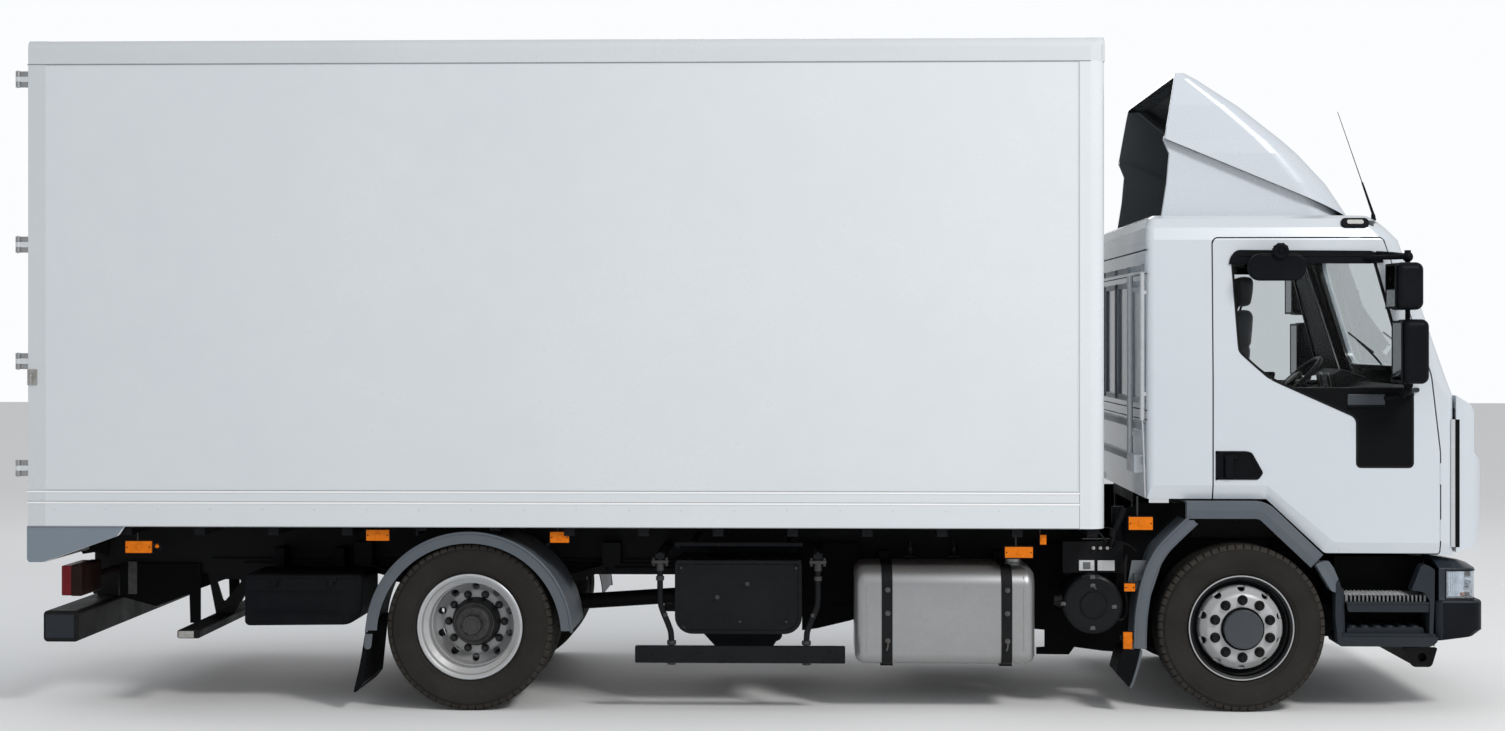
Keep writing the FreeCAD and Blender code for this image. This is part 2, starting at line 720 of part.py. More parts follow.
def tail_lamps():
    x, low = box_rear + 170, rail_low - 57
    pieces = []
    for side in (-1, 1):
        outline = [(x, low, 10), (x + 123, low, 10), (x + 123, low + 180, 10), (x, low + 180, 10)]
        lamp = side_prism(outline, side * (box_y - 420), side * (box_y - 60))
        arm = block(x + 60, x + 110, side * rail_y, side * (box_y - 410), low + 70, low + 120)
        pieces.append(joined([lamp, arm]))
    export("tail_lamps", *pieces)


arch_radius = 590
arch_drop = 48                 # arch centre below the wheel centre
guard_sheet = 6
guard_lip = 62
arch_top = 284                 # cab's own wheel arch above the rail top
arch_lip = 100


def rear_mudguard():
    centre = (rear_axle_x, axle_z - arch_drop)
    outer, inner = box_y - 10, twin_centre_y - twin_spacing / 2 - tyre_width / 2 - 10

    def half_ring(y0, y1, radius, bore):
        ring = tube((centre[0], y0, centre[1]), (centre[0], y1, centre[1]), radius, bore)
        upper = block(centre[0] - 700, centre[0] + 700, y0, y1, centre[1] + 30, centre[1] + 800)
        return ring.common(upper)

    pieces = [half_ring(-outer, -inner, arch_radius, arch_radius - guard_sheet),
              half_ring(-outer, -outer + guard_sheet, arch_radius, arch_radius - guard_lip)]
    stay = 15
    reach = arch_radius - guard_sheet - stay + 1
    for end in (-350, 350):
        z = centre[1] + math.sqrt(reach ** 2 - end ** 2)
        pieces.append(rod((centre[0] + end, -rail_y, z), (centre[0] + end, -outer + 30, z), stay))
    flap_x = centre[0] - arch_radius
    flap = [(flap_x + 3, centre[1] + 60, 0), (flap_x + 15, centre[1] + 60, 0),
            (flap_x - 20, 150, 0), (flap_x - 32, 150, 0)]
    pieces.append(side_prism(flap, -outer + 8, -inner - 20))
    return joined(pieces)


def front_mudguard():
    """Rear half of the front arch, fixed to the chassis, with its flap."""
    x, z = front_axle_x, axle_z
    outer, inner = cab_y + 30, cab_y - 270
    path = [(x - 300, z + 640, 0), (x - 500, z + 450, 250), (x - 596, z + 160, 500),
            (x - 613, z - 112, 0)]
    sheet = side_prism(strip(path, guard_sheet), -outer, -inner)
    lip = side_prism(strip(path, guard_lip), -outer, -outer + guard_sheet)
    arm = block(x - 600, x - 555, -rail_y, -outer + 100, z + 262, z + 302)
    flap = [(x - 630, z - 80, 0), (x - 608, z - 80, 0), (x - 640, 150, 0), (x - 652, 150, 0)]
    guard = joined([sheet, lip, arm, side_prism(flap, -outer + 10, -inner - 10)])
    top = rail_top + arch_top - arch_lip - shut_gap
    return guard.cut(block(x - 600, x, -outer - 10, 0, top, top + 300))


def mudguards():
    rear, front = rear_mudguard(), front_mudguard()
    export("mudguards", rear, mirrored(rear), front, mirrored(front))


def air_cleaner():
    """Round intake filter behind the kerb side front wheel."""
    x, y, z = front_axle_x - 840, -(cab_y - 30), axle_z + 130
    body = rod((x, y, z), (x, y + 430, z), 160)
    cap = rod((x, y - 22, z), (x, y, z), 75)
    duct = bent_rod([(x + 60, y + 260, z + 60), (x + 175, y + 260, z + 250),
                     (x + 175, y + 260, box_low + 100)], 38)
    arms = [block(x - 120, x - 70, -rail_y, y + 420, rail_low + 60, rail_low + 120)]
    post = block(x - 120, x - 70, y + 390, y + 425, z + 60, rail_low + 120)
    export("air_cleaner", joined([body, cap, duct, post] + arms))


# ---- load body ----
front_wall = 40
box_corner = 90


def front_wall_shape():
    """Front wall and its two corner posts, bent from one sheet."""
    x0 = box_front - post_width
    path = [(x0, -box_y, 0), (box_front, -box_y, box_corner), (box_front, box_y, box_corner),
            (x0, box_y, 0)]
    return plan_prism(strip(path, front_wall), box_low, box_top - roof_rail)


def box_subframe():
    pieces = []
    rear, front = box_rear + rear_frame_depth, box_front - front_wall
    for side in (-1, 1):
        pieces.append(block(rear, front, side * (rail_y - rail_flange), side * rail_y,
                            rail_top, bearer_low))
    pitch_count = 14
    pitch = (front - rear - 60) / pitch_count
    for i in range(pitch_count + 1):
        x = rear + i * pitch
        pieces.append(block(x, x + 60, -box_y + box_wall + 8, box_y - box_wall - 8,
                            bearer_low, floor_low))
    over_tyres = axle_z - arch_drop + arch_radius + guard_sheet
    cutters = [front_wall_shape()]
    for side in (-1, 1):                               # bearers are relieved over the mudguards
        cutters.append(block(rear_axle_x - arch_radius / 2, rear_axle_x + arch_radius / 2,
                             side * (rail_y + 100), side * box_y, bearer_low - 5, over_tyres))
    for cutter in cutters:
        pieces = [piece.cut(cutter) for piece in pieces]
    export("box_subframe", *pieces)


def box_floor():
    plate = block(box_rear + rear_frame_depth, box_front - front_wall,
                  -box_y + box_wall, box_y - box_wall, floor_low, floor_top)
    export("box_floor", plate.cut(front_wall_shape()))


bottom_rail = 200
panel_inset = 3                # side panel behind the rails' outer face


def box_side_walls():
    walls = []
    x0, x1 = box_rear + rear_frame_depth, box_front - post_width
    for side in (-1, 1):
        inner = side * (box_y - box_wall)
        panel = block(x0, x1, inner, side * (box_y - panel_inset), box_low, box_top - roof_rail)
        rail = block(x0, x1, inner, side * box_y, box_low, box_low + bottom_rail)
        walls.append(joined([panel, rail]))
    export("box_side_walls", *walls)


def box_front_wall():
    export("box_front_wall", front_wall_shape())


def box_roof():
    rail_z = box_top - roof_rail
    path = [(box_y, rail_z, 0), (box_y, box_top, 55), (-box_y, box_top, 55), (-box_y, rail_z, 0)]
    section = end_prism(strip(path, box_wall), box_rear + rear_frame_depth, box_front)
    plan = plan_prism([(box_rear, -box_y, 0), (box_front, -box_y, box_corner),
                       (box_front, box_y, box_corner), (box_rear, box_y, 0)], rail_z, box_top)
    front = block(box_front - front_wall, box_front, -box_y + front_wall, box_y - front_wall,
                  rail_z, box_top - 20)
    export("box_roof", joined([section.common(plan), front]))


sill_depth = 92


def box_rear_frame():
    x0, x1 = box_rear, box_rear + rear_frame_depth
    outer = end_prism([(-box_y, box_low, 0), (box_y, box_low, 0), (box_y, box_top, 45),
                       (-box_y, box_top, 45)], x0, x1)
    inside = block(x0, x1, -box_y + rear_post, box_y - rear_post, box_low + 100,
                   box_top - roof_rail)
    pieces = [outer.cut(inside)]
    sill_low = rail_top - 75
    pieces.append(block(x0, x0 + sill_depth, -box_y + 15, box_y - 15, sill_low, box_low))
    for side in (-1, 1):
        outline = [(x0, sill_low, 0), (x0 + sill_depth, sill_low, 30),
                   (x0 + 520, rail_top + 78, 40), (x0 + 555, box_low, 0), (x0, box_low, 0)]
        pieces.append(side_prism(outline, side * (box_y - 25), side * (box_y - 15)))
    for z in hinge_heights():
        for side in (-1, 1):
            pieces.append(fixed_hinge(side, z))
    export("box_rear_frame", joined(pieces))


# Rear door hinges: a fixed arm with a middle knuckle and pin, a strap with two outer knuckles.
hinge_radius = 14
hinge_pin = 7
knuckle_half = 14
hinge_shares = (0.92, 0.58, 0.34, 0.12)


def hinge_heights():
    return [box_low + share * box_height for share in hinge_shares]


def hinge_line(side):
    return box_rear - hinge_pin_back, side * box_y


def fixed_hinge(side, z):
    x, y = hinge_line(side)
    arm = block(x, box_rear, y - side * 6, y + side * 6, z - knuckle_half, z + knuckle_half)
    eye = rod((x, y, z - knuckle_half), (x, y, z + knuckle_half), hinge_radius)
    pin = rod((x, y, z - 50), (x, y, z + 50), hinge_pin)
    return joined([arm, eye, pin])


def moving_hinge(side, z):
    x, y = hinge_line(side)
    face = box_rear
    shapes = [block(face - 10, face, y - side * 14, y - side * 380, z - 46, z + 46)]
    shapes[0] = shapes[0].cut(block(face - 12, face + 2, y, y - side * rear_post - side * leaf_gap,
                                    z - 60, z + 60))
    strap = block(face - 12, face - 2, y - side * 4, y - side * 380, z - 46, z + 46)
    strap = joined([strap, shapes[0]])
    for low in (z - 46, z + knuckle_half + 1):
        strap = joined([strap, rod((x, y, low), (x, y, low + 31), hinge_radius),
                        block(x, face - 2, y - side * 14, y - side * 4, low, low + 31)])
    notch = block(x - 20, face + 2, y + side * 20, y - side * 20,
                  z - knuckle_half - 1, z + knuckle_half + 1)
    return strap.cut(notch).cut(rod((x, y, z - 60), (x, y, z + 60), hinge_pin + pin_fit))


def rear_door(side):
    inner, outer = side * leaf_gap, side * (box_y - rear_post - leaf_gap)
    return block(box_rear, box_rear + door_leaf, inner, outer,
                 box_low + 100 + leaf_gap, box_top - roof_rail - leaf_gap)


def door_gear(side):
    bar_x = box_rear - 26
    low, high = box_low + 30, box_top - 50
    pieces = []
    for y in (side * 190, side * 830):
        bar = rod((bar_x, y, low), (bar_x, y, high), 13)
        clamps = [block(box_rear, bar_x - 6, y - 32, y + 32, z, z + 60)
                  for z in (low + 130, low + 950, low + 1800, high - 210)]
        pieces.append(joined([bar] + clamps))
    handle_z = box_low + 480
    handle = joined([block(box_rear - 26, box_rear - 14, side * 190, side * 560,
                           handle_z, handle_z + 36), pieces[0],
                     block(box_rear - 14, box_rear, side * 520, side * 560,
                           handle_z - 20, handle_z + 56)])
    pieces[0] = handle
    pieces += [moving_hinge(side, z) for z in hinge_heights()]
    return pieces


def rear_doors():
    for name, side in sides:
        export("rear_door_" + name, rear_door(side))
        export("door_gear_" + name, *door_gear(side))


# ---- cab ----
# Heights above the rail top, stations from the front axle.
# height, rear set-in, front station, side set-in, front corner radius
cab_rows = ((-26, 0, 1194, 0, 40),
            (880, 0, 1194, 0, 40),
            (985, 0, 1166, 0, 90),
            (1770, 0, 919, 35, 150),
            (1840, 4, 852, 52, 150),
            (1893, 22, 796, 84, 150),
            (1912, 52, 766, 122, 150))
# Outline of the cab's lower edge, over the wheel and down to the sill.
cab_edge = [(-539, 294), (140, 294), (469, -13), (1194, -26)]
door_front = 1114
door_outline = [(-160, 294, 0), (140, 294, 40), (469, -13, 40), (door_front, -13, 12),
                (door_front, 560, 500), (1063, 998, 300), (800, 1778, 30), (-160, 1778, 30)]
door_pin_radius = shut_gap / 2 - seat_gap
door_pin_heights = ((60, 180), (380, 500))
window_outline = [(-61, 1685, 50), (752, 1685, 20), (968, 887, 25), (968, 472, 28),
                  (642, 472, 28), (642, 755, 30), (150, 975, 260), (-21, 1130, 60)]
glass_depth = 22
glass_plate = 6


def cab_place(corners):
    return [(front_axle_x + a, rail_top + b, r) for a, b, r in corners]


def cab_volume(inset):
    """The cab's outside, moved inwards by inset."""
    ceiling = cab_rows[-1][0] - inset
    rows = [row for row in cab_rows if row[0] < ceiling - 1] + [cab_rows[-1]]
    sections = []
    for height, rear, front, side, radius in rows:
        level = min(height, ceiling)
        sections.append((rail_top + level, front_axle_x - cab_length_back + rear + inset,
                         front_axle_x + front - inset, cab_y - side - inset,
                         max(radius - inset, 12), max(45 - inset, 12)))
    return lofted(sections)


def above_edge(raise_by):
    """Everything above the cab's lower edge, as a wide prism."""
    run = [(front_axle_x + a, rail_top + b, 0) for a, b in cab_edge]
    run[0] = (run[0][0] - 300, run[0][1], 0)
    run[-1] = (run[-1][0] + 300, run[-1][1], 0)
    run = shifted_corners(run, -raise_by, closed=False)
    run += [(run[-1][0], rail_top + 2200, 0), (run[0][0], rail_top + 2200, 0)]
    return side_prism(run, -cab_y - 200, cab_y + 200)


screen_outline = [(-990, 1040, 90), (990, 1040, 90), (965, 1715, 110), (-965, 1715, 110)]


def screen_prism(grow):
    corners = grown_outline([(a, rail_top + b, r) for a, b, r in screen_outline], grow)
    return end_prism(corners, front_axle_x + 700, front_axle_x + 1300)


# Crease above the lower edge: the side tucks in below it.  Point on the crease, point on the edge.
sill_tuck = 24
sill_stations = (((-640, 373), (-640, 294)), ((140, 373), (140, 294)), ((520, 50), (469, -13)),
                 ((1300, 46), (1300, -28)))


def sill_wedges():
    wedges = []
    for first, second in zip(sill_stations, sill_stations[1:]):
        ends = []
        for (crease_x, crease_z), (edge_x, edge_z) in (first, second):
            run = (edge_x - crease_x, edge_z - crease_z)
            low_x, low_z = edge_x + run[0] * 0.2, edge_z + run[1] * 0.2
            points = [V(front_axle_x + crease_x, cab_y, rail_top + crease_z),
                      V(front_axle_x + low_x, cab_y - sill_tuck * 1.2, rail_top + low_z),
                      V(front_axle_x + low_x, cab_y + 40, rail_top + low_z),
                      V(front_axle_x + crease_x, cab_y + 40, rail_top + crease_z)]
            ends.append(Part.makePolygon(points + points[:1]))
        wedges.append(Part.makeLoft(ends, True, True))
    return wedges


def cab_skin():
    skin = cab_volume(0).cut(cab_volume(cab_wall)).common(above_edge(0))
    for wedge in sill_wedges():
        skin = skin.cut(wedge).cut(mirrored(wedge))
    return skin


def cab_shell(skin):
    opening = grown_outline(cab_place(door_outline), shut_gap)
    cutter = side_prism(opening, cab_y - cab_wall - 60, cab_y + 100)
    shell = skin.cut(cutter).cut(mirrored(cutter))
    below = side_prism(cab_place([(-539, 200, 0), (300, 200, 0), (500, -100, 0),
                                  (1139, -100, 0), (1139, 300, 0), (-484, 420, 0)]),
                       -cab_y + cab_wall, cab_y - cab_wall)
    export("cab_shell", joined([shell.cut(screen_prism(0)).cut(below)] + door_pins()))


def door_pins():
    """Hinge pins in the shut gap at the doors' front edge, each on two small lugs."""
    x = front_axle_x + door_front + shut_gap / 2
    pins = []
    for side in (-1, 1):
        y = side * cab_y
        for low, high in door_pin_heights:
            low, high = rail_top + low, rail_top + high
            pins.append(rod((x, y, low), (x, y, high), door_pin_radius))
            for z in (low, high - 16):
                pins.append(block(x, x + 12, y - side * 3, y, z, z + 16))
    return pins


def windshield():
    slice_of = cab_volume(8).cut(cab_volume(8 + glass_plate))
    export("windshield", slice_of.common(screen_prism(-seat_gap)))


def window_prism():
    return side_prism(cab_place(window_outline), cab_y - 200, cab_y + 100)


def left_door(skin):
    reach = side_prism(cab_place(door_outline), cab_y - cab_wall - 40, cab_y + 100)
    return skin.common(reach).cut(window_prism())


def left_door_glass():
    layer = cab_volume(glass_depth).cut(cab_volume(glass_depth + glass_plate))
    return layer.common(window_prism())


floor_thick = 60
floor_over_rail = 8            # cab floor's underside above the rail top
tunnel_half = 340
tunnel_top = 410
tunnel_front = 904
lug_y = (rail_y + 8, rail_y + 40)


def cab_floor():
    half = cab_y - cab_wall - shut_gap
    edge = [(front_axle_x + a, rail_top + b, 0) for a, b in cab_edge]
    edge[0] = (edge[0][0] + cab_wall, edge[0][1], 0)
    edge[-1] = (edge[-1][0] - cab_wall, edge[-1][1] + 2, 0)
    floor = side_prism(strip(edge, floor_thick), -half, half)
    x0, x1 = edge[0][0], front_axle_x + tunnel_front
    top = rail_top + tunnel_top
    hollow = block(x0 - 5, x1, -tunnel_half, tunnel_half, rail_top - 200, top)
    cover = block(x0, x1 + 25, -tunnel_half - 25, tunnel_half + 25, rail_top - 60, top + 25)
    cover = cover.common(above_edge(0))
    over_rails = block(x0 - 5, edge[-1][0] + 5, -rail_y - 12, rail_y + 12, rail_top - 200,
                       rail_top + floor_over_rail)
    pieces = [joined([floor, cover]).cut(hollow).cut(over_rails)]
    pivot_x, pivot_z = front_axle_x + tilt_pivot[0], rail_top + tilt_pivot[1]
    for side in (-1, 1):
        y0, y1 = side * lug_y[0], side * lug_y[1]
        lug = side_prism([(pivot_x - 55, rail_top - 12, 0), (pivot_x - 32, pivot_z - 32, 31),
                          (pivot_x + 32, pivot_z - 32, 31), (pivot_x - 1, rail_top - 12, 0)],
                         y0, y1)
        pieces.append(lug)
        pieces.append(side_prism([(pivot_x - 120, rail_top - 15, 0), (pivot_x - 45, pivot_z + 90, 0),
                                  (pivot_x - 2, rail_top - 27, 0), (pivot_x - 58, rail_top + 10, 0),
                                  (pivot_x - 120, rail_top + 10, 0)], y0, y1))
    wall_x = front_axle_x + cab_rows[0][2] - cab_wall
    whole = joined(pieces).cut(block(wall_x, wall_x + 200, -cab_y, cab_y,
                                     rail_top + cab_rows[0][0], rail_top + 200))
    for side in (-1, 1):
        bore = rod((pivot_x, side * (rail_y - 40), pivot_z), (pivot_x, side * (rail_y + 80), pivot_z),
                   tilt_pin_radius + pin_fit)
        whole = whole.cut(bore)
    export("cab_floor", whole)


def front_panel():
    reach = front_panel_reach
    back = 1206
    outline = [(back, 884, 0), (1297, 828, 30), (reach - 62, 788, 20),
               (reach - 62, 560, 20), (reach, 498, 20), (reach, 344, 100), (reach - 23, 71, 30),
               (reach - 66, 25, 20), (back, -5, 0)]
    outer = side_prism(cab_place(outline), -cab_y + 2, cab_y - 2)
    plan = plan_prism([(front_axle_x + 1100, -cab_y, 0), (front_axle_x + reach, -cab_y, 150),
                       (front_axle_x + reach, cab_y, 150), (front_axle_x + 1100, cab_y, 0)],
                      rail_top - 100, rail_top + 1100)
    inner_outline = grown_outline(cab_place([(back - 60, 920, 0)] + outline[1:-1]
                                            + [(back - 60, -10, 0)]), -28)
    hollow = side_prism(inner_outline, -cab_y + 30, cab_y - 30)
    hollow = hollow.common(plan_prism([(front_axle_x + 1100, -cab_y + 30, 0),
                                       (front_axle_x + reach - 28, -cab_y + 30, 122),
                                       (front_axle_x + reach - 28, cab_y - 30, 122),
                                       (front_axle_x + 1100, cab_y - 30, 0)],
                                      rail_top - 100, rail_top + 1100))
    frame = block(front_axle_x + 1194, front_axle_x + back + 8, -cab_y + 90, cab_y - 90,
                  rail_top + 12, rail_top + 860)
    frame = frame.cut(block(front_axle_x + 1100, front_axle_x + 1300, -cab_y + 130, cab_y - 130,
                            rail_top + 52, rail_top + 810))
    body = outer.common(plan).cut(hollow).cut(cab_volume(0))
    ribs = block(front_axle_x + back - 2, front_axle_x + back + 30, -cab_y + 20, cab_y - 20,
                 rail_top + 12, rail_top + 52)
    upper = block(front_axle_x + back - 2, front_axle_x + back + 30, -cab_y + 20, cab_y - 20,
                  rail_top + 810, rail_top + 860)
    export("front_panel", joined([body, frame, ribs.common(outer), upper.common(outer)]))


def dashboard():
    half = cab_y - cab_wall - 45
    outline = [(1139, 500, 0), (1139, 878, 0), (1122, 930, 0), (1010, 935, 40), (820, 880, 60),
               (780, 760, 40),
               (900, 500, 30)]
    body = side_prism(cab_place(outline), -half, half)
    body = body.cut(block(front_axle_x + 930, front_axle_x + 1139, -half, half,
                          rail_top + 500, rail_top + 560))
    return body


passenger_back_ahead = 120      # top of the kerb side seat back, set upright
column_low = (868, 700)
wheel_centre = (654, 930)
wheel_y = 560
rim_mean = 215


def column_points():
    low = V(front_axle_x + column_low[0], wheel_y, rail_top + column_low[1])
    high = V(front_axle_x + wheel_centre[0], wheel_y, rail_top + wheel_centre[1])
    return low, high, (high - low).normalize()


def dashboard_and_steering():
    low, high, axis = column_points()
    housing_end = high - axis * 95
    housing = Part.makeCylinder(45, (housing_end - low).Length, low, axis)
    bore = Part.makeCylinder(16 + pin_fit, (housing_end - low).Length + 2, low + axis * 35, axis)
    export("dashboard", joined([dashboard(), housing]).cut(bore))
    rim = Part.makeTorus(rim_mean, 17, high, axis)
    boss = Part.makeCylinder(60, 60, high - axis * 55, axis)
    shaft = Part.makeCylinder(16, 220, high - axis * 270, axis)
    across = axis.cross(Y_AXIS).normalize()
    pieces = [rim, boss, shaft]
    for direction in (Y_AXIS, Y_AXIS * -1, across):
        start = high - axis * 20
        pieces.append(Part.makeCylinder(14, rim_mean, start, direction + axis * (20 / rim_mean)))
    export("steering_wheel", joined(pieces))


def seat(side, ahead):
    """One seat, with the top of its back this far ahead of the reclined place."""
    y0, y1 = side * 310, side * 810
    low = cab_edge[0][1] + floor_thick

    def profile(outline, inset):
        return side_prism(cab_place(outline), y0 + side * inset, y1 - side * inset)

    base = profile([(-60, low, 0), (139, low, 0), (270, 480, 0), (270, 600, 20), (-60, 600, 20)],
                   60)
    cushion = profile([(-40, 600, 20), (480, 600, 40), (520, 700, 40), (120, 740, 30),
                       (-40, 740, 20)], 0)
    back = profile([(-40, 720, 20), (90, 720, 30), (ahead + 30, 1400, 60),
                    (ahead - 90, 1400, 60)], 0)
    rest = profile([(ahead - 60, 1395, 0), (ahead + 30, 1395, 0), (ahead + 50, 1580, 35),
                    (ahead - 60, 1580, 35)], 120)
    return joined([base, cushion, back, rest])


def seats():
    export("seats", seat(-1, passenger_back_ahead), seat(1, 0))


def cab_wheel_arches():
    outer, inner = cab_y + 25, cab_y - 265
    path = [(-323, arch_top, 0), (134, arch_top, 150), (452, -19, 0)]
    guards = []
    for side in (-1, 1):
        corners = cab_place(path)
        sheet = side_prism(strip(corners, -10), side * outer, side * inner)
        lip = side_prism(strip(corners, -arch_lip), side * outer, side * (outer - 10))
        seat_rib = block(front_axle_x - 300, front_axle_x + 60, side * (cab_y - 120),
                         side * (cab_y - 240), rail_top + arch_top - 1, rail_top + 294)
        guards.append(joined([sheet, lip, seat_rib]))
    export("cab_wheel_arches", *guards)


# height above the roof line, rear station, front station, half width, front radius
deflector_rows = ((0, -430, 676, 1020, 250), (190, -400, 545, 1020, 230),
                  (360, -385, 380, 1018, 200), (440, -418, 290, 1012, 190),
                  (640, -384, 30, 1000, 150), (790, -358, -215, 985, 85),
                  (826, -350, -290, 970, 40))
deflector_skin = 22


def deflector_volume(inset, back):
    rows = []
    for height, rear, front, half, radius in deflector_rows:
        rows.append((rail_top + cab_rows[-1][0] + min(height, 826 - inset),
                     front_axle_x + rear - back, front_axle_x + front - inset, half - inset,
                     max(radius - inset, 10), 5))
    return lofted(rows)


wing_edge = ((-700, 2477), (900, 1808))          # lower edge of the wing over the recessed panel
wing_ledge = 20
panel_recess = 48


def roof_deflector():
    """Outer wing above the slanting edge, and below it a panel set back under the wing."""
    (rear_x, rear_z), (front_x, front_z) = wing_edge
    below = side_prism(cab_place([(rear_x, rear_z, 0), (front_x, front_z, 0), (front_x, 1600, 0),
                                  (rear_x, 1600, 0)]), -cab_y, cab_y)
    over_ledge = side_prism(cab_place([(rear_x, rear_z + wing_ledge, 0),
                                       (front_x, front_z + wing_ledge, 0), (front_x, 1600, 0),
                                       (rear_x, 1600, 0)]), -cab_y, cab_y)
    outer, inside = deflector_volume(0, 0), deflector_volume(deflector_skin, 60)
    set_back = deflector_volume(panel_recess, 0)
    core = deflector_volume(panel_recess + deflector_skin, 60)
    wing = outer.cut(inside).cut(below)
    ledge = outer.cut(core).common(over_ledge).cut(below)
    panel = set_back.cut(core).common(over_ledge)
    export("roof_deflector", joined([wing, ledge, panel]))


def mirror_set():
    """Kerb side: two heads on a tube, and the kerb mirror over the window."""
    x, z = front_axle_x, rail_top
    tube_x, tube_y = x + 894, -(cab_y + 150)
    pieces = [rod((tube_x, tube_y, z + 905), (tube_x, tube_y, z + 1685), 14),
              rod((x + 640, -(cab_y - 60), z + 1665), (tube_x, tube_y, z + 1665), 14),
              rod((x + 990, -(cab_y - 10), z + 915), (tube_x, tube_y, z + 915), 14),
              Part.makeSphere(30, V(tube_x, tube_y, z + 1665)),
              Part.makeSphere(26, V(tube_x, tube_y, z + 915))]
    for low, high, x0, x1 in ((955, 1314, 821, 974), (1366, 1630, 786, 943)):
        head = block(x + x0, x + x1, -(cab_y + 100), -(cab_y + 330), z + low, z + high)
        pieces.append(head.makeFillet(42, head.Edges))
    kerb = side_prism([(x + 14, z + 1533, 70), (x + 336, z + 1533, 70), (x + 336, z + 1685, 70),
                       (x + 14, z + 1685, 70)], -(cab_y + 60), -(cab_y + 140))
    rims = [e for e in kerb.Edges if abs(e.BoundBox.YMax - e.BoundBox.YMin) < 1]
    pieces.append(kerb.makeFillet(14, rims))
    arm = rod((x + 190, -(cab_y - 60), z + 1720), (x + 190, -(cab_y + 140), z + 1660), 15)
    kerb_side = joined([pieces[-1], arm])
    main = joined(pieces[:-1])
    inside = cab_volume(0)
    return main.cut(inside), kerb_side.cut(inside)


def doors():
    skin = cab_skin()
    cab_shell(skin)
    door, glass, right_mirrors = left_door(skin), left_door_glass(), mirror_set()
    export("door_left", door)
    export("door_right", mirrored(door))
    export("door_glass_left", glass)
    export("door_glass_right", mirrored(glass))
    export("mirrors_right", *right_mirrors)
    export("mirrors_left", *[mirrored(part) for part in right_mirrors])


# ---- bumper, lamps and steps ----
bumper_reach = 1354
bumper_corner = 150
corner_margin = 1              # keeps the plan outline's front off the bumper's own face


def front_bumper():
    x = front_axle_x
    low, high = axle_z + 20, axle_z + 162
    outline = [(x + 1085, high, 0), (x + 1085, low - 85, 10), (x + 1260, low - 20, 60),
               (x + bumper_reach, low + 15, 50), (x + bumper_reach, high, 12)]
    ahead = bumper_reach + corner_margin
    plan = [(x + 1000, -cab_y, 0), (x + ahead, -cab_y, bumper_corner),
            (x + ahead, cab_y, bumper_corner), (x + 1000, cab_y, 0)]
    outer = side_prism(outline, -cab_y - 50, cab_y + 50).common(plan_prism(plan, 0, rail_top))
    hollow = block(x + 1000, x + bumper_reach - 40, -cab_y + 40, cab_y - 40, 0, high - 40)
    body = outer.cut(hollow)
    grille = block(x + 1284, x + 1314, -830, 830, high - 5, rail_top - 85)
    for side in (-1, 1):
        grille = grille.cut(block(x + 1270, x + 1330, side * (lug_y[0] - 25),
                                  side * (lug_y[1] + 25), high + 60, rail_top))
    clear = [block(x + 1085, x + 1250, side * (rail_y - 65), side * (rail_y + 60),
                   high - 60, high + 5) for side in (-1, 1)]
    whole = joined([body, grille])
    for cutter in clear:
        whole = whole.cut(cutter)
    export("front_bumper", whole)


def headlamps():
    x = front_axle_x
    high = axle_z + 162
    lamps = []
    for side in (-1, 1):
        outline = [(x + 1144, high, 0), (x + 1331, high, 10), (x + 1331, rail_top - 106, 20),
                   (x + 1301, rail_top - 74, 25), (x + 1181, rail_top - 32, 30),
                   (x + 1144, rail_top - 70, 20)]
        lamp = side_prism(outline, side * 840, side * (cab_y - 4))
        plan = plan_prism([(x + 1100, side * 800, 0), (x + 1331, side * 800, 0),
                           (x + 1331, side * (cab_y - 4), 130), (x + 1100, side * (cab_y - 4), 0)],
                          high - 10, rail_top)
        lamps.append(lamp.common(plan))
    export("headlamps", *lamps)


def cab_step(side):
    x, z = front_axle_x, axle_z
    inner, outer = side * (cab_y - 270), side * (cab_y + 10)
    wall = side * (cab_y - 240)
    sill = side_prism([(x + 538, z - 98, 30), (x + 1079, z - 98, 20), (x + 1079, z + 22, 0),
                       (x + 538, z + 22, 0)], outer, inner)
    back = block(x + 538, x + 1079, wall, inner, z + 22, z + 300)
    upper = side_prism([(x + 570, z + 152, 0), (x + 1050, z + 152, 0), (x + 1050, z + 194, 8),
                        (x + 570, z + 194, 8)], side * (cab_y - 10), inner)
    posts = [side_prism([(x + 538, z + 22, 0), (x + 585, z + 22, 0), (x + 585, z + 260, 20),
                         (x + 538, z + 260, 20)], side * (cab_y - 10), inner),
             side_prism([(x + 1040, z + 22, 0), (x + 1079, z + 22, 0), (x + 1079, z + 328, 0),
                         (x + 989, z + 369, 20), (x + 1000, z + 320, 20), (x + 1040, z + 290, 20)],
                        side * (cab_y - 10), inner)]
    fender = side_prism([(x + 404, z + 357, 0), (x + 502, z + 372, 25), (x + 545, z + 277, 10),
                         (x + 545, z + 190, 0), (x + 516, z + 185, 0)], outer, inner)
    arms = [block(x + 800, x + 860, wall, side * rail_y, z + 240, z + 290)]
    tyre_sweep = block(x + 350, x + 575, side * (cab_y - 115), side * rail_y, z - 150, z + 400)
    return joined([sill, back, upper, fender] + posts + arms).cut(tyre_sweep)


def cab_steps():
    export("cab_steps", cab_step(-1), cab_step(1))


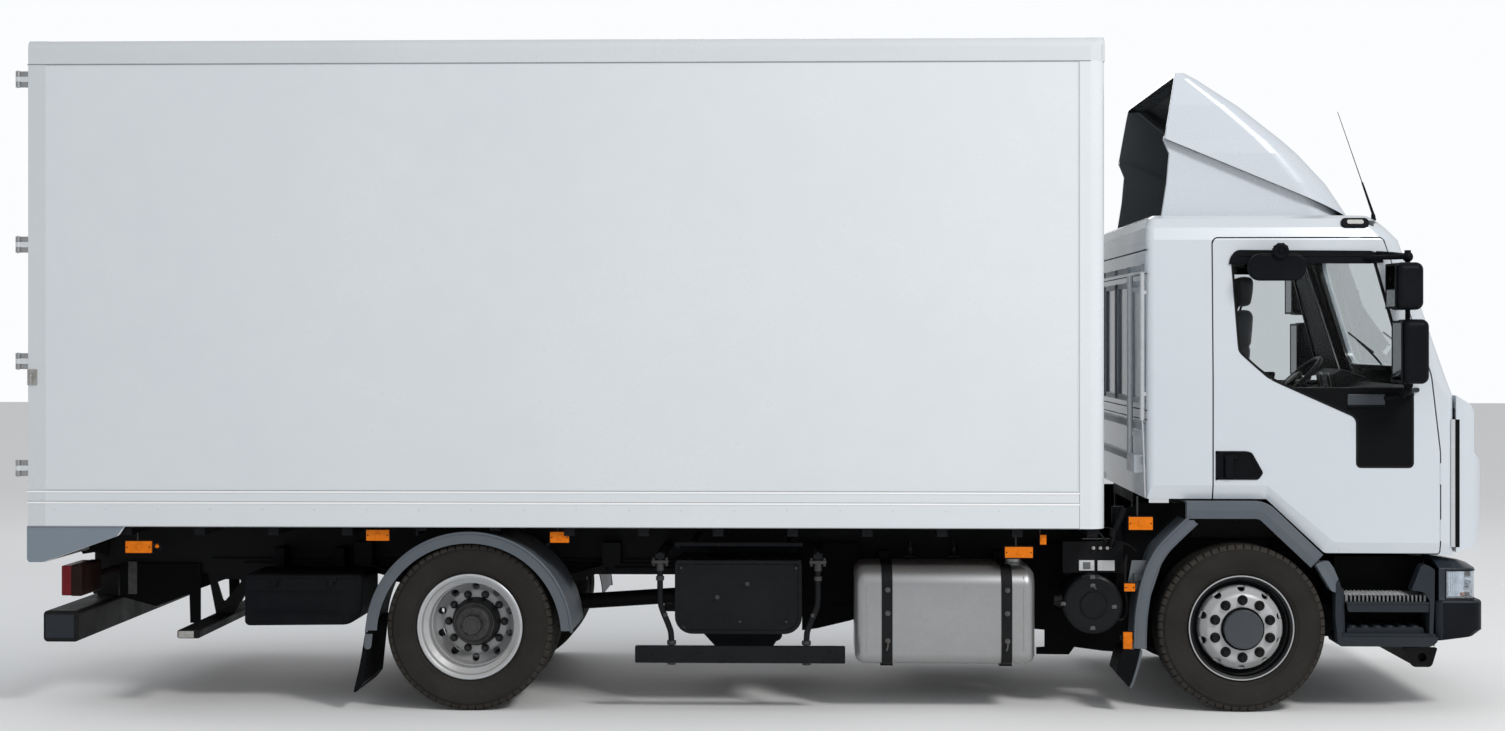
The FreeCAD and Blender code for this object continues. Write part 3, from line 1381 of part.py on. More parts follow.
chassis_frame()
leaf_springs()
front_axle()
rear_axle()
for name, side in sides:
    export("knuckle_" + name, knuckle(side))
tie_rod()
wheels()
engine()
driveline()
tank_shape = fuel_tank()
export("fuel_tank", tank_shape)
export("tank_straps", *tank_supports(tank_shape))
boxes_on_rails()
air_tanks()
side_guards()
rear_underrun()
tail_lamps()
mudguards()
air_cleaner()
box_subframe()
box_floor()
box_side_walls()
box_front_wall()
box_roof()
box_rear_frame()
rear_doors()
doors()
windshield()
cab_floor()
front_panel()
dashboard_and_steering()
seats()
cab_wheel_arches()
roof_deflector()
front_bumper()
headlamps()
cab_steps()
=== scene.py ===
import math
import bpy
import bmesh
from mathutils import Matrix, Vector


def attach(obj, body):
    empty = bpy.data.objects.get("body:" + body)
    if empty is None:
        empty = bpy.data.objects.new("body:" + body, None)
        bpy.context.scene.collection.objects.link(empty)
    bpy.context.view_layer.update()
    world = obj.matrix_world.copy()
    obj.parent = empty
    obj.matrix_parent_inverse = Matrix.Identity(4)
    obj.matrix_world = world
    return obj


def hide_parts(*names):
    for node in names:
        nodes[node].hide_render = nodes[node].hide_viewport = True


# Box truck looks. Metres, +X forwards, +Y the driver's side, +Z up, ground at Z = 0.
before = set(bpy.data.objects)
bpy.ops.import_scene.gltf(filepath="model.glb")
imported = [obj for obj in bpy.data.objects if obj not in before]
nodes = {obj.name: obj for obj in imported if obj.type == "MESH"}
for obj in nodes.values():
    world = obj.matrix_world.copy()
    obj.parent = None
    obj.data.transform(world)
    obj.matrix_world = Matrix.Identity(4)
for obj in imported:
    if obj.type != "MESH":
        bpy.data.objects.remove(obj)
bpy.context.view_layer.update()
sides = (("Right", "right", -1), ("Left", "left", 1))
frontAxle = (2.796, 0.4785)
rearAxle = (-1.604, 0.4785)
railTop = 0.92
print("frame loaded:", len(nodes), "nodes")

# Studio: camera, lights and floor
view = dict(place=(0.393, -13.99, 2.13), turn=1.7, lens=53.72, shiftY=-0.0183, sensor=36.0, far=200.0)
studio = dict(floor=(0.93, 0.935, 0.94), rough=0.85, size=60.0, sky=(0.965, 0.98, 1.0), skyPower=0.58,
    paperPower=1.0)
lamps = (  # name, place, aim, size, power, colour
    ("keyLight", (7.5, -10.0, 10.0), (0.5, -1.0, 1.5), 3.0, 950, (1.0, 0.985, 0.96)),
    ("rearLight", (-13.0, 3.0, 6.0), (-3.0, 0.0, 2.0), 4.5, 140, (0.96, 0.98, 1.0)),
    ("farLight", (1.0, 12.0, 8.0), (0.0, 0.0, 2.0), 6.0, 160, (1.0, 1.0, 1.0)))


def having(thing, **values):
    for key, value in values.items():
        setattr(thing, key, value)
    return thing


def addObject(name, data):
    obj = bpy.data.objects.new(name, data)
    bpy.context.scene.collection.objects.link(obj)
    return obj


def aimAt(obj, place, target):
    obj.location = place
    obj.rotation_euler = (Vector(target) - Vector(place)).to_track_quat("-Z", "Y").to_euler()


def makeStudio():
    scene = bpy.context.scene
    scene.camera = addObject("viewCamera", having(bpy.data.cameras.new("viewCamera"), lens=view["lens"],
        sensor_width=view["sensor"], shift_y=view["shiftY"], clip_end=view["far"]))
    turn = math.radians(view["turn"])
    ahead = Vector((-math.sin(turn), math.cos(turn), 0.0))
    aimAt(scene.camera, view["place"], Vector(view["place"]) + ahead)
    for name, place, aim, size, power, colour in lamps:
        light = having(bpy.data.lights.new(name, "AREA"), shape="DISK", size=size, energy=power, color=colour)
        aimAt(addObject(name, light), place, aim)
    world = having(bpy.data.worlds.new("studioWorld"), use_nodes=True)
    tree = world.node_tree
    rays = addNode(tree, "LightPath").outputs["Is Camera Ray"]
    feed(tree, tree.nodes["Background"], {"Color": (*studio["sky"], 1.0),
        "Strength": blendValues(tree, rays, studio["skyPower"], studio["paperPower"])})
    scene.world = world
    scene.view_settings.view_transform = "Standard"
    floor = bpy.data.meshes.new("studioFloor")
    part = bmesh.new()
    bmesh.ops.create_grid(part, x_segments=1, y_segments=1, size=studio["size"])
    part.to_mesh(floor)
    part.free()
    tree, shader = startPaint("floorPaper")
    feed(tree, shader, {"Base Color": (*studio["floor"], 1.0), "Roughness": studio["rough"]})
    floor.materials.append(paints["floorPaper"])
    addObject("studioFloor", floor)


# Shader helpers: an input takes a value or another node's output
def feed(tree, node, values):
    for label, value in values.items():
        if isinstance(value, bpy.types.NodeSocket):
            tree.links.new(value, node.inputs[label])
        else:
            node.inputs[label].default_value = value
    return node


def addNode(tree, kind, values=(), **settings):
    return feed(tree, having(tree.nodes.new("ShaderNode" + kind), **settings), dict(values))


def mathNode(tree, operation, *values):
    return addNode(tree, "Math", enumerate(values), operation=operation).outputs[0]


def vectorNode(tree, operation, *values):
    return addNode(tree, "VectorMath", enumerate(values), operation=operation).outputs


def splitVector(tree, vector):
    return addNode(tree, "SeparateXYZ", {0: vector}).outputs


def mixColours(tree, factor, first, second):
    return addNode(tree, "Mix", {0: factor, 6: first, 7: second}, data_type="RGBA").outputs[2]


def noiseNode(tree, vector, scale, detail, stretch=None):
    if stretch:
        vector = addNode(tree, "Mapping", {"Scale": stretch, "Vector": vector}).outputs["Vector"]
    return addNode(tree, "TexNoise", {"Detail": detail, "Vector": vector, "Scale": scale}).outputs["Fac"]


def groupNode(tree, group, values):
    return addNode(tree, "Group", values, node_tree=group).outputs


def blendValues(tree, factor, low, high):
    return addNode(tree, "MapRange", {"To Min": low, "To Max": high, "Value": factor}).outputs["Result"]


def startGroup(name, inputs):
    # each input has the kind of its usual value; the outputs are a colour and a mask, or a mask alone
    group = bpy.data.node_groups.new(name, "ShaderNodeTree")
    kinds = {1: "NodeSocketFloat", 3: "NodeSocketVector", 4: "NodeSocketColor"}
    for label, value in {"Vector": (0, 0, 0), **inputs}.items():
        kind = kinds[len(value) if isinstance(value, tuple) else 1]
        group.interface.new_socket(name=label, in_out="INPUT", socket_type=kind).default_value = value
    given = group.nodes.new("NodeGroupInput").outputs
    return group, given, lambda operation, *values: mathNode(group, operation, *values)


def endGroup(group, **results):
    for label in results:
        kind = "NodeSocketColor" if label == "Colour" else "NodeSocketFloat"
        group.interface.new_socket(name=label, in_out="OUTPUT", socket_type=kind)
    feed(group, group.nodes.new("NodeGroupOutput"), results)
    return group


grey = (0.5, 0.5, 0.5, 1)


def makeToneGroup():
    # slow changes of tone over a panel, and fine speckle
    group, given, calc = startGroup("paintTone", {"Colour": grey, "Second": (0.4, 0.4, 0.4, 1), "Scale": 2.0,
        "Amount": 0.3})
    finer, broadShare, fineShare, middle, contrast = 14.0, 0.7, 0.3, 0.34, 3.0
    broad = noiseNode(group, given["Vector"], given["Scale"], 3.0)
    fine = noiseNode(group, given["Vector"], calc("MULTIPLY", given["Scale"], finer), 5.0)
    both = calc("ADD", calc("MULTIPLY", broad, broadShare), calc("MULTIPLY", fine, fineShare))
    spread = calc("MULTIPLY", calc("SUBTRACT", both, middle), contrast)
    factor = calc("MULTIPLY", calc("MINIMUM", calc("MAXIMUM", spread, 0.0), 1.0), given["Amount"])
    return endGroup(group, Colour=mixColours(group, factor, given["Colour"], given["Second"]), Mask=factor)


def makeDustGroup():
    # road dust, thickest near the ground
    group, given, calc = startGroup("roadDust", {"Colour": grey, "Dust": (0.42, 0.38, 0.33, 1), "Amount": 0.3,
        "Top": 1.0})
    height = calc("DIVIDE", splitVector(group, given["Vector"])["Z"], given["Top"])
    low = calc("MAXIMUM", calc("SUBTRACT", 1.0, height), 0.0)
    everywhere, speckFloor, thickest = 0.15, 0.6, 0.9
    patches = noiseNode(group, given["Vector"], 5.0, 6.0)
    specks = noiseNode(group, given["Vector"], 42.0, 3.0)
    cover = calc("MULTIPLY", calc("ADD", low, everywhere), calc("MULTIPLY", patches,
        calc("ADD", specks, speckFloor)))
    factor = calc("MINIMUM", calc("MULTIPLY", cover, given["Amount"]), thickest)
    return endGroup(group, Colour=mixColours(group, factor, given["Colour"], given["Dust"]), Mask=factor)


def makeGrainGroup():
    # height for moulded grain, orange peel or brushing, by its scale and stretch
    group, given, _ = startGroup("surfaceGrain", {"Scale": 300.0, "Stretch": (1, 1, 1)})
    product = vectorNode(group, "MULTIPLY", given["Vector"], given["Stretch"])[0]
    return endGroup(group, Height=noiseNode(group, product, given["Scale"], 3.0))


cabInside = dict(side=1.15, lean=0.0446, leanFrom=1.905, rear=2.257, roof=2.832, front=3.99, skin=0.03,
    brow=2.69, browLean=0.69, frontLean=0.3146, frontFoot=3.962)


def makeInsideFaceGroup():
    # mask of the cab's inner faces, by their distance behind its outside; these go near black, partly dark
    # trim and partly painted shade of the closed cab
    group, given, calc = startGroup("cabInsideFaces", {})
    c = cabInside
    at = splitVector(group, given["Vector"])
    x, y, z = (at[axis] for axis in "XYZ")
    above = calc("MAXIMUM", calc("SUBTRACT", z, c["leanFrom"]), 0.0)
    half = calc("SUBTRACT", c["side"], calc("MULTIPLY", above, c["lean"]))
    side = calc("SUBTRACT", half, calc("ABSOLUTE", y))
    rear = calc("SUBTRACT", x, c["rear"])
    roof = calc("SUBTRACT", c["roof"], z)
    brow = calc("MAXIMUM", calc("SUBTRACT", z, c["brow"]), 0.0)
    lean = calc("ADD", calc("MULTIPLY", above, c["frontLean"]), calc("MULTIPLY", brow, c["browLean"]))
    front = calc("SUBTRACT", calc("MINIMUM", c["front"], calc("SUBTRACT", c["frontFoot"], lean)), x)
    nearest = calc("MINIMUM", calc("MINIMUM", side, rear), calc("MINIMUM", roof, front))
    inside = calc("GREATER_THAN", nearest, c["skin"])
    for other, least in ((roof, 0.085), (front, 0.115), (rear, 0.062)):
        inside = calc("MULTIPLY", inside, calc("GREATER_THAN", calc("ADD", side, other), least))
    return endGroup(group, Mask=inside)


def makeBandGroup():
    # mask of a ring about an axle, between two distances from it, where painted shade is laid
    group, given, calc = startGroup("wheelBand", {"Axle": (0, 0, 0), "Inner": 0.2, "Outer": 0.3})
    away = vectorNode(group, "SUBTRACT", given["Vector"], given["Axle"])[0]
    flat = vectorNode(group, "MULTIPLY", away, (1.0, 0.0, 1.0))[0]
    reach = vectorNode(group, "LENGTH", flat)["Value"]
    past = calc("GREATER_THAN", reach, given["Inner"])
    return endGroup(group, Mask=calc("MULTIPLY", past, calc("LESS_THAN", reach, given["Outer"])))


def makePaintedLightGroup():
    # masks of a shell's inner faces: those that face its middle plane, which get painted light, and those
    # that face downwards, which get painted shade
    group, given, calc = startGroup("hollowSide", {"Facing": (0, 0, 0)})
    place, facing = splitVector(group, given["Vector"]), splitVector(group, given["Facing"])
    inwards = calc("MULTIPLY", calc("SIGN", place["Y"]), facing["Y"])
    under = calc("LESS_THAN", facing["Z"], -0.3)
    return endGroup(group, Side=calc("LESS_THAN", inwards, -0.25), Under=under)


toneGroup, dustGroup, grainGroup = makeToneGroup(), makeDustGroup(), makeGrainGroup()
insideFaceGroup, hollowGroup, bandGroup = makeInsideFaceGroup(), makePaintedLightGroup(), makeBandGroup()

# Finishes: name; colour; second colour; tone scale and amount; dust amount and height (0 0 for none);
# roughness low and high; gloss; metallic; grain scale and height (mm)
# the near-black gap finish serves real gaps, slots and flaps, and also sheets that stand as painted shade in
# recesses and under the truck
finishTable = """
tyre 0.0095 0.0092 0.009 0.022 0.0205 0.019 7 0.8 0.06 1.1 0.72 0.95 0.12 0 260 0.35
tyreSide 0.0125 0.0115 0.0108 0.024 0.0215 0.0195 5 0.8 0.035 1.2 0.62 0.9 0.16 0 420 0.2
wheelPaint 0.5 0.52 0.545 0.38 0.38 0.375 9 0.55 0.45 0.95 0.38 0.7 0.5 0.35 160 0.12
frontWheelPaint 0.5 0.52 0.545 0.38 0.38 0.375 9 0.55 0.35 0.95 0.38 0.7 0.5 0.35 160 0.12
chassisPaint 0.0038 0.0044 0.006 0.011 0.0115 0.013 4 0.7 0.025 1.2 0.42 0.7 0.1 0 220 0.2
castBlock 0.035 0.036 0.039 0.07 0.068 0.066 6 0.8 0.2 1.4 0.6 0.85 0.5 0.5 120 0.8
tankMetal 0.36 0.37 0.385 0.28 0.285 0.29 3 0.6 0.3 1 0.33 0.5 0.5 0.75 90 0.06
blackPlastic 0.0034 0.0042 0.006 0.0085 0.0095 0.0115 5 0.6 0.012 1.2 0.4 0.58 0.06 0 700 0.12
greyPlastic 0.072 0.09 0.112 0.095 0.11 0.128 4 0.6 0.08 1.3 0.45 0.62 0.5 0 600 0.12
boxPaint 0.715 0.757 0.785 0.662 0.71 0.742 0.55 0.7 0.05 1.8 0.26 0.36 0.5 0 18 0.05
railPaint 0.66 0.69 0.715 0.6 0.635 0.665 1.2 0.6 0.05 1.8 0.25 0.38 0.5 0 30 0.04
bareSteel 0.42 0.43 0.44 0.3 0.305 0.31 22 0.7 0.12 2.5 0.32 0.5 0.5 0.9 200 0.1
cabShade 0.36 0.4 0.45 0.3 0.34 0.385 3 0.6 0.2 2.2 0.3 0.45 0.5 0 60 0.04
cabPaint 0.62 0.665 0.715 0.58 0.63 0.685 0.9 0.5 0.06 1.4 0.24 0.32 0.5 0.12 34 0.03
deflectorPaint 0.6 0.645 0.7 0.56 0.61 0.67 0.9 0.5 0 0 0.26 0.34 0.5 0.12 34 0.03
slateSteel 0.215 0.262 0.312 0.18 0.225 0.27 3 0.5 0.1 1.6 0.35 0.5 0.5 0.2 120 0.04
glossBlack 0.0034 0.0042 0.006 0.007 0.008 0.01 5 0.6 0.012 1.2 0.24 0.4 0.14 0 500 0.05
floorMat 0.03 0.032 0.035 0.06 0.06 0.06 8 0.7 0.1 1.6 0.7 0.9 0.5 0 260 0.5
cabTrim 0.0065 0.0072 0.009 0.012 0.013 0.015 3 0.5 0 0 0.45 0.6 0.12 0 500 0.15
rubberSeal 0.0045 0.005 0.0062 0.01 0.0102 0.0115 9 0.6 0.012 2 0.45 0.65 0.12 0 400 0.08
zincSteel 0.5 0.5 0.49 0.3 0.27 0.23 30 0.7 0.3 0.9 0.3 0.55 0.5 0.85 180 0.1
darkSteel 0.022 0.024 0.028 0.05 0.048 0.046 14 0.7 0.12 1 0.4 0.65 0.5 0.4 160 0.15
silverReflector 0.82 0.84 0.86 0.72 0.74 0.77 40 0.4 0 0 0.08 0.16 0.5 1 60 0.05
rimEdge 0.58 0.6 0.625 0.42 0.43 0.445 20 0.5 0.15 0.9 0.3 0.5 0.5 0.4 160 0.06
rimDark 0.02 0.022 0.026 0.045 0.046 0.049 7 0.7 0.1 0.9 0.45 0.7 0.5 0.3 160 0.12
slatePlastic 0.115 0.135 0.155 0.15 0.165 0.18 4 0.6 0.25 1.2 0.4 0.55 0.5 0 500 0.08
blackGap 0.0025 0.0028 0.0036 0.0055 0.0058 0.0066 9 0.6 0 0 0.6 0.8 0.08 0 300 0.05
stepSlate 0.017 0.0225 0.03 0.025 0.031 0.039 4 0.6 0.02 1.2 0.44 0.6 0.16 0 600 0.1
guardSlate 0.085 0.104 0.126 0.105 0.122 0.142 4 0.6 0.05 1.3 0.4 0.55 0.5 0 600 0.08
treadSteel 0.24 0.255 0.27 0.09 0.095 0.1 40 0.8 0.2 1.1 0.35 0.6 0.5 0.6 240 0.1
lampSlate 0.01 0.015 0.024 0.018 0.025 0.036 5 0.6 0.02 1.4 0.18 0.3 0.35 0 300 0.02
hubSlate 0.036 0.044 0.053 0.052 0.06 0.07 4 0.6 0.05 1 0.35 0.5 0.3 0 500 0.05
beadPaint 0.96 0.97 0.98 0.9 0.92 0.94 3 0.5 0 0 0.25 0.38 0.5 0 30 0.02
seamGrey 0.27 0.28 0.29 0.18 0.185 0.19 6 0.6 0 0 0.5 0.7 0.5 0 60 0.04
treadDust 0.03 0.027 0.024 0.052 0.047 0.042 30 0.8 0 0 0.8 0.95 0.1 0 260 0.3
darkZinc 0.11 0.112 0.115 0.05 0.048 0.045 30 0.7 0.15 0.9 0.35 0.55 0.5 0.6 180 0.1
lampShade 0.012 0.004 0.004 0.018 0.008 0.007 8 0.6 0.02 1.1 0.35 0.5 0.1 0 300 0.05
bumperBlack 0.0034 0.0048 0.0074 0.007 0.0085 0.0115 5 0.5 0.012 1 0.36 0.48 0.1 0 700 0.08
whiteLabel 0.72 0.74 0.76 0.62 0.63 0.64 20 0.5 0.2 1.2 0.4 0.55 0.5 0 300 0.03
"""
# the front wheels get a near-black ring between the rim lip and the disc: painted shade in the rim's well
finishExtras = {"frontWheelPaint": dict(band=((2.796, 0.0, 0.4785), 0.2425, 0.2915),
    bandColour=(0.005, 0.0055, 0.0065)), "tankMetal": dict(stretch=(0.04, 1, 6)), "cabPaint": dict(coat=0.6),
    # the deflector's inner side faces get mid grey as painted light, its downward inner faces near black as
    # painted shade
    "deflectorPaint": dict(coat=0.5, hollow=(0.16, 0.175, 0.185), paintedShadeUnder=(0.006, 0.007, 0.009))}
paints = {}


def startPaint(name):
    material = having(bpy.data.materials.new(name), use_nodes=True)
    paints[name] = material
    return material.node_tree, material.node_tree.nodes["Principled BSDF"]


def objectPlace(tree):
    return addNode(tree, "TexCoord").outputs["Object"]


def bumpInto(tree, shader, height, millimetres):
    bump = addNode(tree, "Bump", {"Strength": 1.0, "Distance": millimetres / 1000, "Height": height})
    tree.links.new(bump.outputs["Normal"], shader.inputs["Normal"])


def makeFinish(name, numbers, extras):
    tree, shader = startPaint(name)
    place = objectPlace(tree)
    toneScale, toneAmount, dust, dustTop, roughLow, roughHigh, gloss, metal, scale, depth = numbers[6:]
    tone = groupNode(tree, toneGroup, {"Vector": place, "Colour": (*numbers[:3], 1),
        "Second": (*numbers[3:6], 1), "Scale": toneScale, "Amount": toneAmount})
    colour, mask = tone["Colour"], tone["Mask"]
    if dust:
        film = groupNode(tree, dustGroup, {"Vector": place, "Colour": colour, "Amount": dust, "Top": dustTop})
        colour, mask = film["Colour"], mathNode(tree, "MAXIMUM", mask, film["Mask"])
    layers = []
    # near-black inside of the cab: partly dark trim, partly painted shade
    if "insideTrimAndShade" in extras:
        layers.append((groupNode(tree, insideFaceGroup, {"Vector": place})["Mask"], extras["insideTrimAndShade"]))
    # painted shade: a near-black ring on the front wheels
    if "band" in extras:
        axle, inner, outer = extras["band"]
        ring = groupNode(tree, bandGroup, {"Vector": place, "Axle": axle, "Inner": inner, "Outer": outer})
        layers.append((ring["Mask"], extras["bandColour"]))
    # painted light on the deflector's inner side faces, painted shade on its downward inner faces
    if "hollow" in extras:
        facing = addNode(tree, "TexCoord").outputs["Normal"]
        inner = groupNode(tree, hollowGroup, {"Vector": place, "Facing": facing})
        layers += [(inner["Side"], extras["hollow"]), (inner["Under"], extras["paintedShadeUnder"])]
    for cover, tint in layers:
        colour = mixColours(tree, cover, colour, (*tint, 1))
    feed(tree, shader, {"Base Color": colour, "Roughness": blendValues(tree, mask, roughLow, roughHigh),
        "Metallic": metal, "Specular IOR Level": gloss})
    if "coat" in extras:
        feed(tree, shader, {"Coat Weight": extras["coat"], "Coat Roughness": 0.06})
    grain = groupNode(tree, grainGroup, {"Vector": place, "Scale": scale,
        "Stretch": extras.get("stretch", (1.0, 1.0, 1.0))})
    bumpInto(tree, shader, grain["Height"], depth)


def makeGlass():
    feed(*startPaint("cabGlass"), {"Base Color": (0.93, 0.965, 0.97, 1), "Roughness": 0.01,
        "Transmission Weight": 1.0, "IOR": 1.16})


def makeLens(name, colour, transmission, scale=55.0, gloss=0.5, relief=0.8, rough=0.12):
    tree, shader = startPaint(name)
    place = objectPlace(tree)
    tone = groupNode(tree, toneGroup, {"Vector": place, "Colour": (*colour, 1), "Scale": 30.0,
        "Second": (*[c * 0.6 for c in colour], 1), "Amount": 0.5})
    feed(tree, shader, {"Base Color": tone["Colour"], "Roughness": rough, "Transmission Weight": transmission,
        "Specular IOR Level": gloss, "Coat Weight": gloss})
    flutes = addNode(tree, "TexWave", {"Scale": scale, "Vector": place})
    bumpInto(tree, shader, flutes.outputs["Fac"], relief)


def makeMirrorGlass():
    tree, shader = startPaint("mirrorGlass")
    film = noiseNode(tree, objectPlace(tree), 12.0, 4.0)
    feed(tree, shader, {"Metallic": 1.0, "Base Color": (0.03, 0.034, 0.04, 1),
        "Roughness": blendValues(tree, film, 0.01, 0.07)})


def makeWeave(name, colour, thread):
    # plain woven cloth, two crossed sets of threads about 2 mm apart
    tree, shader = startPaint(name)
    place = objectPlace(tree)
    waves = [addNode(tree, "TexWave", {"Scale": thread, "Distortion": 0.6, "Vector": place},
        bands_direction=direction).outputs["Fac"] for direction in "XYZ"]
    weave = mathNode(tree, "MAXIMUM", mathNode(tree, "MULTIPLY", waves[0], waves[1]),
        mathNode(tree, "MULTIPLY", waves[2], mathNode(tree, "MAXIMUM", waves[0], waves[1])))
    factor = mathNode(tree, "MULTIPLY", mathNode(tree, "ADD", weave, noiseNode(tree, place, 9.0, 3.0)), 0.5)
    feed(tree, shader, {"Base Color": mixColours(tree, factor, (*[c * 0.6 for c in colour], 1), (*colour, 1)),
        "Roughness": 0.9, "Sheen Weight": 0.25})
    bumpInto(tree, shader, weave, 0.5)


def makePlywood():
    tree, shader = startPaint("floorPlywood")
    grain = noiseNode(tree, objectPlace(tree), 6.0, 6.0, (0.25, 6.0, 6.0))
    feed(tree, shader, {"Base Color": mixColours(tree, grain, (0.1, 0.055, 0.03, 1), (0.26, 0.16, 0.09, 1)),
        "Roughness": blendValues(tree, grain, 0.45, 0.7)})
    bumpInto(tree, shader, grain, 0.6)


for row in finishTable.split("\n")[1:-1]:
    paintName, *numbers = row.split()
    numbers, extras = [float(number) for number in numbers], finishExtras.get(paintName, {})
    makeFinish(paintName, numbers, extras)
    # the cab shell and doors get a copy of the cab paint that is near black inside: partly dark trim, partly
    # painted shade
    if paintName == "cabPaint":
        makeFinish("cabPaintInsideShade", numbers, dict(extras, insideTrimAndShade=(0.006, 0.0065, 0.008)))
makeGlass()
makeLens("amberLens", (0.86, 0.205, 0.003), 0.03, gloss=0.1)
makeLens("redLens", (0.16, 0.006, 0.01), 0.05, gloss=0.12)
makeLens("clearLens", (0.84, 0.9, 0.96), 0.97, 35.0, 0.5, 0.06, 0.03)
makeLens("whiteLens", (0.8, 0.8, 0.78), 0.3, 40.0)
makeMirrorGlass()
makeWeave("seatCloth", (0.045, 0.05, 0.06), 260.0)
makePlywood()

nodeFinish = {
    "tyre": "front_tyre_left front_tyre_right rear_tyres_left rear_tyres_right",
    "wheelPaint": "rear_wheels_left rear_wheels_right",
    "frontWheelPaint": "front_wheel_left front_wheel_right",
    "chassisPaint": "chassis_frame front_axle rear_axle leaf_springs knuckle_left knuckle_right tie_rod "
                    "driveline box_subframe rear_underrun side_guards tank_straps",
    "castBlock": "engine",
    "tankMetal": "fuel_tank exhaust_silencer",
    "blackPlastic": "battery_box tool_box front_bumper cab_steps air_cleaner mirrors_left "
                    "mirrors_right air_tanks",
    "boxPaint": "box_side_walls box_front_wall rear_door_right rear_door_left",
    "railPaint": "box_roof box_rear_frame",
    "bareSteel": "door_gear_left door_gear_right",
    "floorPlywood": "box_floor",
    "cabPaint": "front_panel",
    "cabPaintInsideShade": "cab_shell door_left door_right",
    "deflectorPaint": "roof_deflector",
    "greyPlastic": "cab_wheel_arches mudguards",
    "floorMat": "cab_floor",
    "cabTrim": "dashboard steering_wheel",
    "seatCloth": "seats",
    "cabGlass": "windshield door_glass_left door_glass_right",
    "clearLens": "headlamps",
    "redLens": "tail_lamps",
}
for paintName, names in nodeFinish.items():
    for name in names.split():
        nodes[name].data.materials.clear()
        nodes[name].data.materials.append(paints[paintName])
print("finishes ready")


# Mesh helpers: shapes go into the piece being built, which finishPiece then makes an object of
work = bmesh.new()


def addBox(low, high):
    low, high = Vector(low), Vector(high)
    size = [abs(v) for v in high - low]
    place = Matrix.Translation((low + high) / 2) @ Matrix.Diagonal((*size, 1.0))
    bmesh.ops.create_cube(work, size=1.0, matrix=place)


def addRod(start, end, radius, sides, endRadius=None):
    start, end = Vector(start), Vector(end)
    along = end - start
    place = Matrix.Translation((start + end) / 2) @ along.to_track_quat("Z", "Y").to_matrix().to_4x4()
    bmesh.ops.create_cone(work, cap_ends=True, segments=sides, radius1=radius, depth=along.length,
        radius2=radius if endRadius is None else endRadius, matrix=place)


def sortedParts(result):
    # the new vertices, edges and faces of an operator's result
    return [[part for part in result["geom"] if isinstance(part, kind)]
        for kind in (bmesh.types.BMVert, bmesh.types.BMEdge, bmesh.types.BMFace)]


def pushFaces(bm, faces, push=(0, 0, 0)):
    verts, _, faces = sortedParts(bmesh.ops.extrude_face_region(bm, geom=list(faces)))
    bmesh.ops.translate(bm, verts=verts, vec=push)
    return verts, faces


def addPlate(outline, push, bm=work):
    # a flat outline pushed along one direction
    return pushFaces(bm, [bm.faces.new([bm.verts.new(point) for point in outline])], push)[0]


def addSpin(profile, centre, axis, steps, bm=work):
    # profile points are (distance along the axis, radius)
    axis, centre = Vector(axis).normalized(), Vector(centre)
    outwards = axis.orthogonal().normalized()
    verts = [bm.verts.new(centre + axis * along + outwards * radius) for along, radius in profile]
    edges = [bm.edges.new(pair) for pair in zip(verts, verts[1:])]
    bmesh.ops.spin(bm, geom=verts + edges, cent=centre, axis=axis, angle=2 * math.pi, steps=steps,
        use_merge=True)


def addSweep(section, places):
    # one closed section carried through a row of placing matrices, with its two ends closed
    edges = list(work.faces.new([work.verts.new(places[0] @ Vector(point)) for point in section]).edges)
    for before, after in zip(places, places[1:]):
        verts, edges, _ = sortedParts(bmesh.ops.extrude_edge_only(work, edges=edges))
        bmesh.ops.transform(work, matrix=after @ before.inverted(), verts=verts)
        edges = [edge for edge in edges if edge.is_boundary]
    bmesh.ops.holes_fill(work, edges=edges)


def addPipe(route, radius, sides=3):
    curve = having(bpy.data.curves.new("route", "CURVE"), dimensions="3D", bevel_depth=radius,
        bevel_resolution=sides, resolution_u=6, use_fill_caps=True)
    spline = curve.splines.new("NURBS")
    spline.points.add(len(route) - 1)
    for point, place in zip(spline.points, route):
        point.co = (*place, 1.0)
    having(spline, order_u=3, use_endpoint_u=True)
    carrier = bpy.data.objects.new("route", curve)
    mesh = bpy.data.meshes.new_from_object(carrier)
    work.from_mesh(mesh)
    bpy.data.objects.remove(carrier)
    bpy.data.curves.remove(curve)
    bpy.data.meshes.remove(mesh)


def pathPlaces(corners, side, y):
    # mitred placing matrices along a path of (x, z) corners: local x across the path, local y outwards
    places = []
    runs = [(Vector(b) - Vector(a)).normalized() for a, b in zip(corners, corners[1:])]
    for i, (x, z) in enumerate(corners):
        after = runs[min(i, len(runs) - 1)]
        along = (runs[max(i - 1, 0)] + after).normalized()
        across = Vector((-along.y, along.x)) / max(0.3, along.dot(after))
        places.append(Matrix(((across.x, 0, along.x, x), (0, side, 0, y), (across.y, 0, along.y, z),
            (0, 0, 0, 1))))
    return places


def takeIn(part):
    mesh = bpy.data.meshes.new("part")
    part.to_mesh(mesh)
    part.free()
    work.from_mesh(mesh)
    bpy.data.meshes.remove(mesh)


def bevelEdges(bm, edges, offset, segments):
    bmesh.ops.bevel(bm, geom=edges, offset=offset, segments=segments, profile=0.5, affect="EDGES",
        material=-1)


def roundedFace(bm, outline, rounds, segments=5):
    verts = [bm.verts.new(point) for point in outline]
    bm.faces.new(verts)
    for vert, reach in zip(verts, rounds):
        if reach:
            bmesh.ops.bevel(bm, geom=[vert], offset=reach, segments=segments, profile=0.5, affect="VERTICES",
                material=-1)


def roundedPlate(outline, rounds, segments, push):
    part = bmesh.new()
    roundedFace(part, outline, rounds, segments)
    return (part, *pushFaces(part, part.faces, push))


def addProfile(outline, s, low, high, rounds=()):
    # (x, z) outline with rounded corners, pushed from one distance off the middle plane to another
    takeIn(roundedPlate([(x, s * low, z) for x, z in outline], rounds, 4, (0, s * (high - low), 0))[0])


